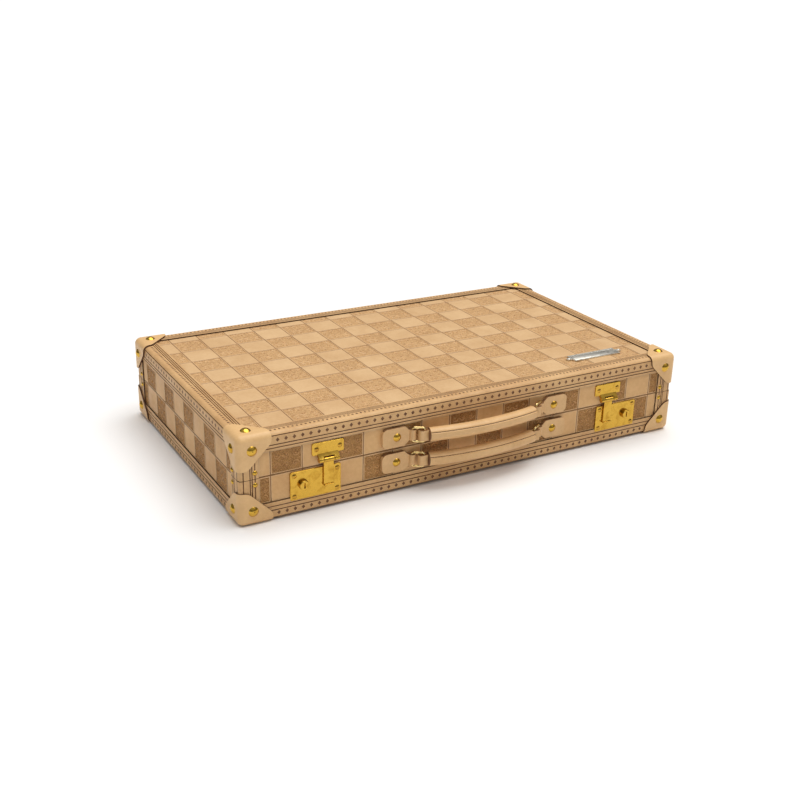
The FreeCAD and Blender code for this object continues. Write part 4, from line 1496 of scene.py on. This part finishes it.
# ---- handles ----
@dataclass
class Grip:
    """A rolled leather grip, bowed outwards, with a sewn seam along its front."""

    level: str
    finishes: Finishes
    bow: float = 5.5 * MM
    half_length: float = 50.0 * MM
    seam_angle: float = math.radians(31.0)
    seam_depth: float = 0.55 * MM
    crease_depth: float = 0.22 * MM
    seam_half_angle: float = math.radians(6.5)
    seam_dark_angle: float = math.radians(5.0)
    crease_angle: float = math.radians(27)
    crease_half_angle: float = math.radians(6)
    fold: float = 0.12 * MM
    skin_gap: float = 0.15 * MM
    end_rings: tuple[tuple[float, float], ...] = ((0.955, 0.35), (0.92, 0.4), (0.86, 0.22), (0.5, 0.1))
    sides: int = 60
    steps: int = 56
    stitch_pitch: float = 2.3 * MM
    stitch_length: float = 1.55 * MM
    stitch_radius: float = 0.3 * MM
    stitch_sink: float = 0.3
    stitch_lean: float = math.radians(17)
    sewn_share: float = 0.96

    def __post_init__(self) -> None:
        """Takes the grip's place from the CAD grip."""
        low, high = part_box("handle_grip_" + self.level)
        self.radius = (high.z - low.z) / 2
        self.arc = (self.half_length ** 2 + self.bow ** 2) / (2 * self.bow)
        self.top = Vector((0.0, low.y + self.radius, (low.z + high.z) / 2))
        self.centre = self.top + Vector((0.0, self.arc, 0.0))
        self.sweep = math.asin(self.half_length / self.arc)

    def reach(self, angle: float) -> float:
        """The section's radius at an angle above the front: a seam in a valley between two creases.

        Args:
            angle: the angle, 0 at the front and growing upwards.

        Returns:
            The radius there.
        """
        off = abs(angle - self.seam_angle)
        seam = self.seam_depth * max(0.0, 1 - off / self.seam_half_angle)
        crease = self.crease_depth * max(0.0, 1 - abs(off - self.crease_angle) / self.crease_half_angle)
        return self.radius - self.skin_gap - seam - crease + self.fold * math.sin(3 * angle)

    def body(self) -> BMesh:
        """The grip itself: a closed roll with rounded ends.

        Returns:
            The roll.
        """
        bm = bmesh.new()
        ring = []
        for index in range(self.sides):
            angle = 2 * math.pi * index / self.sides
            reach = self.reach(math.remainder(angle, 2 * math.pi))
            out = Vector((0.0, -math.cos(angle), math.sin(angle)))
            ring.append(bm.verts.new(self.top + out * reach))
        edges = [bm.edges.new(pair) for pair in zip(ring, ring[1:] + ring[:1])]
        about = {"cent": self.centre}
        bmesh.ops.rotate(bm, verts=ring, matrix=Matrix.Rotation(-self.sweep, 3, "Z"), **about)
        bmesh.ops.spin(bm, geom=ring + edges, axis=UP, angle=2 * self.sweep, steps=self.steps,
                       use_duplicate=False, **about)
        self.round_ends(bm)
        bmesh.ops.recalc_face_normals(bm, faces=bm.faces)
        return bm

    def round_ends(self, bm: BMesh) -> None:
        """Draws the two open ends in and closes them.

        Args:
            bm: the roll.
        """
        loose = [e for e in bm.edges if e.is_boundary]
        for side in (-1, 1):
            ring = [e for e in loose if (e.verts[0].co.x + e.verts[1].co.x) * side > 0]
            turn = Matrix.Rotation(side * self.sweep, 3, "Z")
            middle = self.centre + turn @ (self.top - self.centre)
            along = turn @ Vector((side * 1.0, 0.0, 0.0))
            for scale, step in self.end_rings:
                ring, verts = extrude_ring(bm, ring)
                middle = middle + along * step * MM
                bmesh.ops.scale(bm, verts=verts, vec=(scale, scale, scale),
                                space=Matrix.Translation(-middle))
                bmesh.ops.translate(bm, verts=verts, vec=along * step * MM)
            bmesh.ops.edgeloop_fill(bm, edges=ring)

    def stitches(self) -> BMesh:
        """The row of slanting stitches in the seam.

        Returns:
            The stitches.
        """
        bm = bmesh.new()
        count = int(2 * self.half_length * self.sewn_share / self.stitch_pitch)
        out = Vector((0.0, -math.cos(self.seam_angle), math.sin(self.seam_angle)))
        seat = self.top + out * (self.reach(self.seam_angle) + self.stitch_radius * self.stitch_sink)
        lean = Matrix.Rotation(self.stitch_lean, 4, out)
        for index in range(count):
            turn = (2 * (index + 0.5) / count - 1) * self.sweep * self.sewn_share
            place = (Matrix.Translation(self.centre) @ Matrix.Rotation(turn, 4, "Z")
                     @ Matrix.Translation(seat - self.centre) @ lean)
            add_stitch(bm, place, self.stitch_length, self.stitch_radius)
        return bm

    def build(self) -> list[Piece]:
        """Makes the grip and its stitches.

        Returns:
            The grip and its stitches, as two pieces.
        """
        body = "handle_" + self.level
        grip = new_piece(f"rolled_grip_{self.level}", self.body(),
                         (self.finishes.handle, self.finishes.tool_line))
        for polygon in grip.data.polygons:
            offset = Vector(polygon.center) - self.centre
            front = math.hypot(offset.x, offset.y) > self.arc
            rise = math.asin(max(-1.0, min(1.0, offset.z / self.radius)))
            in_seam = front and abs(rise - self.seam_angle) < self.seam_dark_angle
            if in_seam or abs(math.atan2(offset.x, -offset.y)) > self.sweep:
                polygon.material_index = 1
        seam = new_piece(f"grip_stitches_{self.level}", self.stitches(), (self.finishes.thread,),
                         CRISP_ANGLE)
        return [settle(grip, body, "handle_leather", ["handle_grip_" + self.level]),
                settle(seam, body, "handle_leather")]


@dataclass
class Handle:
    """One handle: its grip, the straps sewn to it and the chapes that hold its rings."""

    level: str
    half: Half
    finishes: Finishes
    strap_side: float = 0.6
    stitch_inset: float = 1.5 * MM
    stitch_pitch: float = 2.4 * MM
    stitch_length: float = 1.6 * MM
    stitch_radius: float = 0.26 * MM
    ring_gap: float = 1.2 * MM
    face_depth: float = 3.1 * MM
    tip_gap: float = 3.0 * MM
    tip_half: float = 2.6 * MM
    straight_share: float = 0.2
    taper: float = 0.8

    def build(self) -> list[Piece]:
        """Makes every leather piece of the handle.

        Returns:
            The pieces.
        """
        made = Grip(self.level, self.finishes).build()
        for node, body in ((f"handle_straps_{self.level}", f"handle_{self.level}"),
                           (f"chapes_{self.level}", self.half.value)):
            made.append(SoftenedPiece(node, body, "handle_leather", self.finishes.handle,
                                      self.finishes.chape_edge,
                                      lambda f: abs(f.normal.z) > self.strap_side,
                                      rounding=0.28 * MM).build())
        made.append(self.chape_stitches())
        return made

    def chape_stitches(self) -> Piece:
        """Stitches along both sides of each chape's flat part.

        Returns:
            The stitches, as one piece.
        """
        low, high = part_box(f"chapes_{self.level}")
        bm = bmesh.new()
        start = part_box(f"ring_{self.level}_right")[1].x + self.ring_gap
        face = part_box(f"chape_rivets_{self.level}")[0].y + self.face_depth
        middle = (low.z + high.z) / 2
        half_start = (high.z - low.z) / 2 - self.stitch_inset
        end = high.x - self.tip_gap
        count = int((end - start) / self.stitch_pitch)
        for side in (-1, 1):
            for index in range(count + 1):
                x = start + index * (end - start) / count
                narrowed = max(0.0, (x - start) / (end - start) - self.straight_share) * self.taper
                half = half_start - (half_start - self.tip_half) * narrowed
                for edge in (-1, 1):
                    place = Matrix.Translation((side * x, face, middle + edge * half))
                    add_stitch(bm, place, self.stitch_length, self.stitch_radius)
        piece = new_piece(f"chape_stitches_{self.level}", bm, (self.finishes.thread,), CRISP_ANGLE)
        return settle(piece, self.half.value, "handle_leather")


# ---- inside the case ----
@dataclass
class LidPad:
    """The lid's stuffed pad: swollen by a short cloth simulation, then drawn in along sewn channels."""

    finishes: Finishes
    voxel: float = 5.0 * MM
    pressure: float = 4.0
    frames: int = 20
    most_swell: float = 3.0 * MM
    channels: int = 5
    channel_depth: float = 1.7 * MM
    channel_half: float = 3.2 * MM
    back_share: float = 0.3

    def swell(self, piece: Piece) -> None:
        """Blows the pad up and holds each point within the most it may move.

        Args:
            piece: the pad.
        """
        rest = [v.co.copy() for v in piece.data.vertices]
        cloth = piece.modifiers.new("stuffing", "CLOTH")
        cloth.settings.use_pressure = True
        cloth.settings.uniform_pressure_force = self.pressure
        cloth.settings.effector_weights.gravity = 0.0
        cloth.point_cache.frame_start = 1
        cloth.point_cache.frame_end = self.frames
        for step in range(1, self.frames + 1):
            bpy.context.scene.frame_set(step)
        apply_modifiers(piece)
        bpy.context.scene.frame_set(1)
        for vertex, start in zip(piece.data.vertices, rest):
            move = vertex.co - start
            if move.length > self.most_swell:
                vertex.co = start + move.normalized() * self.most_swell

    def fit(self, piece: Piece, low: Vector, high: Vector) -> None:
        """Brings the swollen pad back into the space its CAD solid holds.

        Args:
            piece: the pad.
            low: the space's low corner.
            high: its high corner.
        """
        points = [v.co.copy() for v in piece.data.vertices]
        for axis in range(3):
            least = min(p[axis] for p in points)
            most = max(p[axis] for p in points)
            scale = (high[axis] - low[axis]) / (most - least)
            for vertex in piece.data.vertices:
                vertex.co[axis] = low[axis] + (vertex.co[axis] - least) * scale

    def build(self) -> Piece:
        """Makes the pad.

        Returns:
            The pad.
        """
        low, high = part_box("lid_pad")
        piece = new_piece("stuffed_lid_pad", merged_copy("lid_pad"), (self.finishes.pad,), CRISP_ANGLE)
        remesh = piece.modifiers.new("even_mesh", "REMESH")
        remesh.mode = "VOXEL"
        remesh.voxel_size = self.voxel
        apply_modifiers(piece)
        self.swell(piece)
        self.fit(piece, low, high)
        divide = piece.modifiers.new("finer", "SUBSURF")
        divide.levels = divide.render_levels = 1
        apply_modifiers(piece)
        middle = (low.z + high.z) / 2
        pitch = (high - low).x / self.channels
        for vertex in piece.data.vertices:
            along = (vertex.co.x - low.x) / pitch
            off = abs(along - round(along)) * pitch
            if 0 < round(along) < self.channels:
                dip = self.channel_depth * math.exp(-((off / self.channel_half) ** 2))
                vertex.co.z += dip if vertex.co.z < middle else -self.back_share * dip
        piece.data.materials.clear()
        piece.data.materials.append(self.finishes.pad)
        piece.data.shade_smooth()
        settle(piece, Half.LID.value, "pad_cloth", ["lid_pad"])
        return piece


@dataclass
class Lining:
    """The cloth-covered boards inside one half: an open box with soft corners and a rolled rim."""

    half: Half
    finishes: Finishes
    thickness: float = 1.6 * MM
    corner_radius: float = 2.4 * MM
    rim_rounding: float = 0.5 * MM
    edge_steps: int = 4

    def build(self) -> Piece:
        """Makes the lining.

        Returns:
            The lining.
        """
        node = self.half.value + "_lining"
        block = RoundedHalf.around(self.half, node, self.corner_radius)
        bm = bmesh.new()
        block.add_skin(bm, self.edge_steps)
        inner = block.grown(-self.thickness).add_skin(bm, self.edge_steps)
        bmesh.ops.reverse_faces(bm, faces=inner)
        bmesh.ops.bridge_loops(bm, edges=[e for e in bm.edges if e.is_boundary])
        piece = new_piece(self.half.value + "_cloth_lining", bm, (self.finishes.lining,))
        soften(piece, self.rim_rounding, angle=CRISP_ANGLE)
        return settle(piece, self.half.value, "lining", [node])


@dataclass
class Interior:
    """The linings, the chip tray and the pad."""

    finishes: Finishes

    def build(self) -> list[Piece]:
        """Makes the soft pieces inside the case.

        Returns:
            The pieces.
        """
        tray = SoftenedPiece("chip_tray", "base", "tray_cloth", self.finishes.tray,
                             rounding=0.5 * MM, segments=3)
        return [LidPad(self.finishes).build(), *(Lining(half, self.finishes).build() for half in Half),
                tray.build()]


# ---- metalwork ----
@dataclass
class Metalwork:
    """Locks, hasps, rings, hinges, nails, stays and the nameplate."""

    finishes: Finishes
    plate_border: float = 0.9 * MM
    plate_line: float = 0.3 * MM
    plate_depth: float = 0.18 * MM

    def softened(self) -> list[Piece]:
        """The plates and hasps with their stamped edges eased.

        Returns:
            The pieces.
        """
        made = []
        for side in ("left", "right"):
            for node, body, rounding in ((f"lock_plate_{side}", "base", 0.35 * MM),
                                         (f"hasp_plate_{side}", "lid", 0.3 * MM),
                                         (f"hasp_{side}", f"hasp_{side}", 0.35 * MM)):
                made.append(SoftenedPiece(node, body, "brass", self.finishes.brass, rounding=rounding,
                                          segments=3).build())
        made.append(self.nameplate())
        return made

    def nameplate(self) -> Piece:
        """The blank plate on the lid, with a dark line engraved inside its border.

        Returns:
            The plate.
        """
        bm = merged_copy("nameplate")
        bm.normal_update()
        top = max((f for f in bm.faces if f.normal.z > 0.9), key=lambda f: f.calc_area())
        bmesh.ops.inset_region(bm, faces=[top], thickness=self.plate_border)
        for depth in (-self.plate_depth, self.plate_depth):
            walls = bmesh.ops.inset_region(bm, faces=[top], thickness=self.plate_line, depth=depth)
            for face in walls["faces"]:
                face.material_index = 1
        piece = new_piece("blank_nameplate", bm, (self.finishes.silver, self.finishes.engraving))
        return settle(piece, "lid", "nameplate_metal", ["nameplate"])

    def dress(self) -> None:
        """Gives the CAD nodes that stay their finishes."""
        by_slot = {
            "brass": self.finishes.brass,
            "inner_steel": self.finishes.inner_steel,
            "nameplate_metal": self.finishes.silver,
            "wood": self.finishes.wood,
            "lining": self.finishes.lining,
            "tooled_leather": self.finishes.tile,
            "binding_leather": self.finishes.border,
            "cap_leather": self.finishes.cap,
            "handle_leather": self.finishes.handle,
            "tray_cloth": self.finishes.tray,
            "pad_cloth": self.finishes.pad,
        }
        for name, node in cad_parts.items():
            for slot in node.material_slots:
                finish = by_slot[slot.material.name.split(".")[0]]
                if name.startswith("ring_"):
                    finish = self.finishes.pale_brass
                elif "screws" in name:
                    finish = self.finishes.screw_brass
                slot.material = finish
            log.info("%s keeps its CAD mesh with %s", name,
                     [s.material.name for s in node.material_slots])


# ---- the case and the studio ----
@dataclass
class ChipCase:
    """The whole case, built piece by piece."""

    finishes: Finishes

    def build(self) -> None:
        """Makes every visible piece."""
        Metalwork(self.finishes).dress()
        for half in Half:
            cover = TooledCover(half, self.finishes)
            cover.build()
            ScrollWork(cover, self.finishes).build()
            CornerCaps(half, self.finishes).build()
        TooledBinding(Half.LID, self.finishes, (2.3 * MM, 9.5 * MM, 12.1 * MM), 5.8 * MM).build()
        TooledBinding(Half.BASE, self.finishes, (1.1 * MM, 7.2 * MM, 10.5 * MM), 4.5 * MM,
                      corner_radius=2.6 * MM).build()
        Handle("upper", Half.LID, self.finishes).build()
        Handle("lower", Half.BASE, self.finishes).build()
        Metalwork(self.finishes).softened()
        Interior(self.finishes).build()


@dataclass
class Studio:
    """A pale floor, soft light from above and the camera."""

    finishes: Finishes
    camera_place: tuple[float, float, float] = (-0.4784, -0.8252, 0.4178)
    camera_azimuth: float = math.radians(-29.734)
    camera_elevation: float = math.radians(22.491)
    camera_roll: float = math.radians(1.408)
    lens: float = 51.11
    sensor: float = 36.0
    floor_size: float = 60.0
    floor_gap: float = 0.05 * MM
    key_energy: float = 2.5
    fill_energy: float = 0.06
    lamp_colour: tuple[float, float, float] = (1.0, 0.985, 0.96)
    lamp_distance: float = 2.0
    zenith_level: float = 0.5
    horizon_level: float = 0.12

    def build(self) -> None:
        """Makes the floor, lights, world and camera."""
        self.floor()
        self.sun("key_sun", self.key_energy, (0.24, 0.02, 0.97), 58.0)
        self.sun("fill_sun", self.fill_energy, (0.5, -0.8, 0.45), 50.0)
        self.world()
        self.camera()

    def floor(self) -> None:
        """A wide plain floor that the case stands on."""
        bm = bmesh.new()
        bmesh.ops.create_grid(bm, x_segments=1, y_segments=1, size=self.floor_size / 2)
        bmesh.ops.translate(bm, verts=bm.verts, vec=(0.0, 0.0, CAD_BOX[0].z - self.floor_gap))
        floor = new_piece("studio_floor", bm, (self.finishes.floor,))

    def sun(self, name: str, energy: float, towards: tuple[float, float, float], spread: float) -> None:
        """A distant lamp.

        Args:
            name: its name.
            energy: its strength.
            towards: the direction from the case to the lamp.
            spread: its angular size in degrees, which softens its shadows.
        """
        lamp = bpy.data.lights.new(name, "SUN")
        lamp.energy = energy
        lamp.angle = math.radians(spread)
        lamp.color = self.lamp_colour
        holder = bpy.data.objects.new(name, lamp)
        holder.rotation_mode = "QUATERNION"
        holder.rotation_quaternion = Vector(towards).to_track_quat("Z", "Y")
        holder.location = Vector(towards) * self.lamp_distance
        bpy.context.scene.collection.objects.link(holder)

    def world(self) -> None:
        """A surround that is pale overhead and dim at the sides, and plain white to the camera."""
        scene = bpy.context.scene
        world = bpy.data.worlds.new("studio_surround")
        scene.world = world
        world.use_nodes = True
        tree = world.node_tree
        background = tree.nodes["Background"]
        place = tree.nodes.new("ShaderNodeTexCoord")
        parts = tree.nodes.new("ShaderNodeSeparateXYZ")
        level = tree.nodes.new("ShaderNodeMapRange")
        level.interpolation_type = "SMOOTHSTEP"
        level.inputs["From Min"].default_value = 0.0
        level.inputs["From Max"].default_value = 1.0
        level.inputs["To Min"].default_value = self.horizon_level
        level.inputs["To Max"].default_value = self.zenith_level
        tree.links.new(place.outputs["Generated"], parts.inputs["Vector"])
        tree.links.new(parts.outputs["Z"], level.inputs["Value"])
        seen = tree.nodes.new("ShaderNodeMix")
        path = tree.nodes.new("ShaderNodeLightPath")
        tree.links.new(path.outputs["Is Camera Ray"], seen.inputs[0])
        tree.links.new(level.outputs["Result"], seen.inputs[2])
        seen.inputs[3].default_value = 1.0
        tree.links.new(seen.outputs[0], background.inputs["Strength"])
        background.inputs["Color"].default_value = (1.0, 1.0, 1.0, 1.0)
        scene.view_settings.view_transform = "Standard"
        scene.view_settings.look = "None"
        scene.view_settings.exposure = 0.0

    def camera(self) -> None:
        """The camera, looking down at the case's front-left corner."""
        data = bpy.data.cameras.new("studio_camera")
        data.lens = self.lens
        data.sensor_width = self.sensor
        camera = bpy.data.objects.new("studio_camera", data)
        a, e = self.camera_azimuth, self.camera_elevation
        look = Vector((-math.sin(a) * math.cos(e), math.cos(a) * math.cos(e), -math.sin(e)))
        right = look.cross(UP).normalized()
        up = right.cross(look)
        c, s = math.cos(self.camera_roll), math.sin(self.camera_roll)
        columns = Matrix((c * right + s * up, c * up - s * right, -look)).transposed()
        camera.matrix_world = Matrix.Translation(self.camera_place) @ columns.to_4x4()
        bpy.context.scene.collection.objects.link(camera)
        bpy.context.scene.camera = camera


def main() -> None:
    """Builds the case in its studio."""
    logging.basicConfig(level=logging.INFO, format="%(name)s: %(message)s")
    finishes = Finishes()
    ChipCase(finishes).build()
    Studio(finishes).build()


if __name__ == "__main__":
    main()
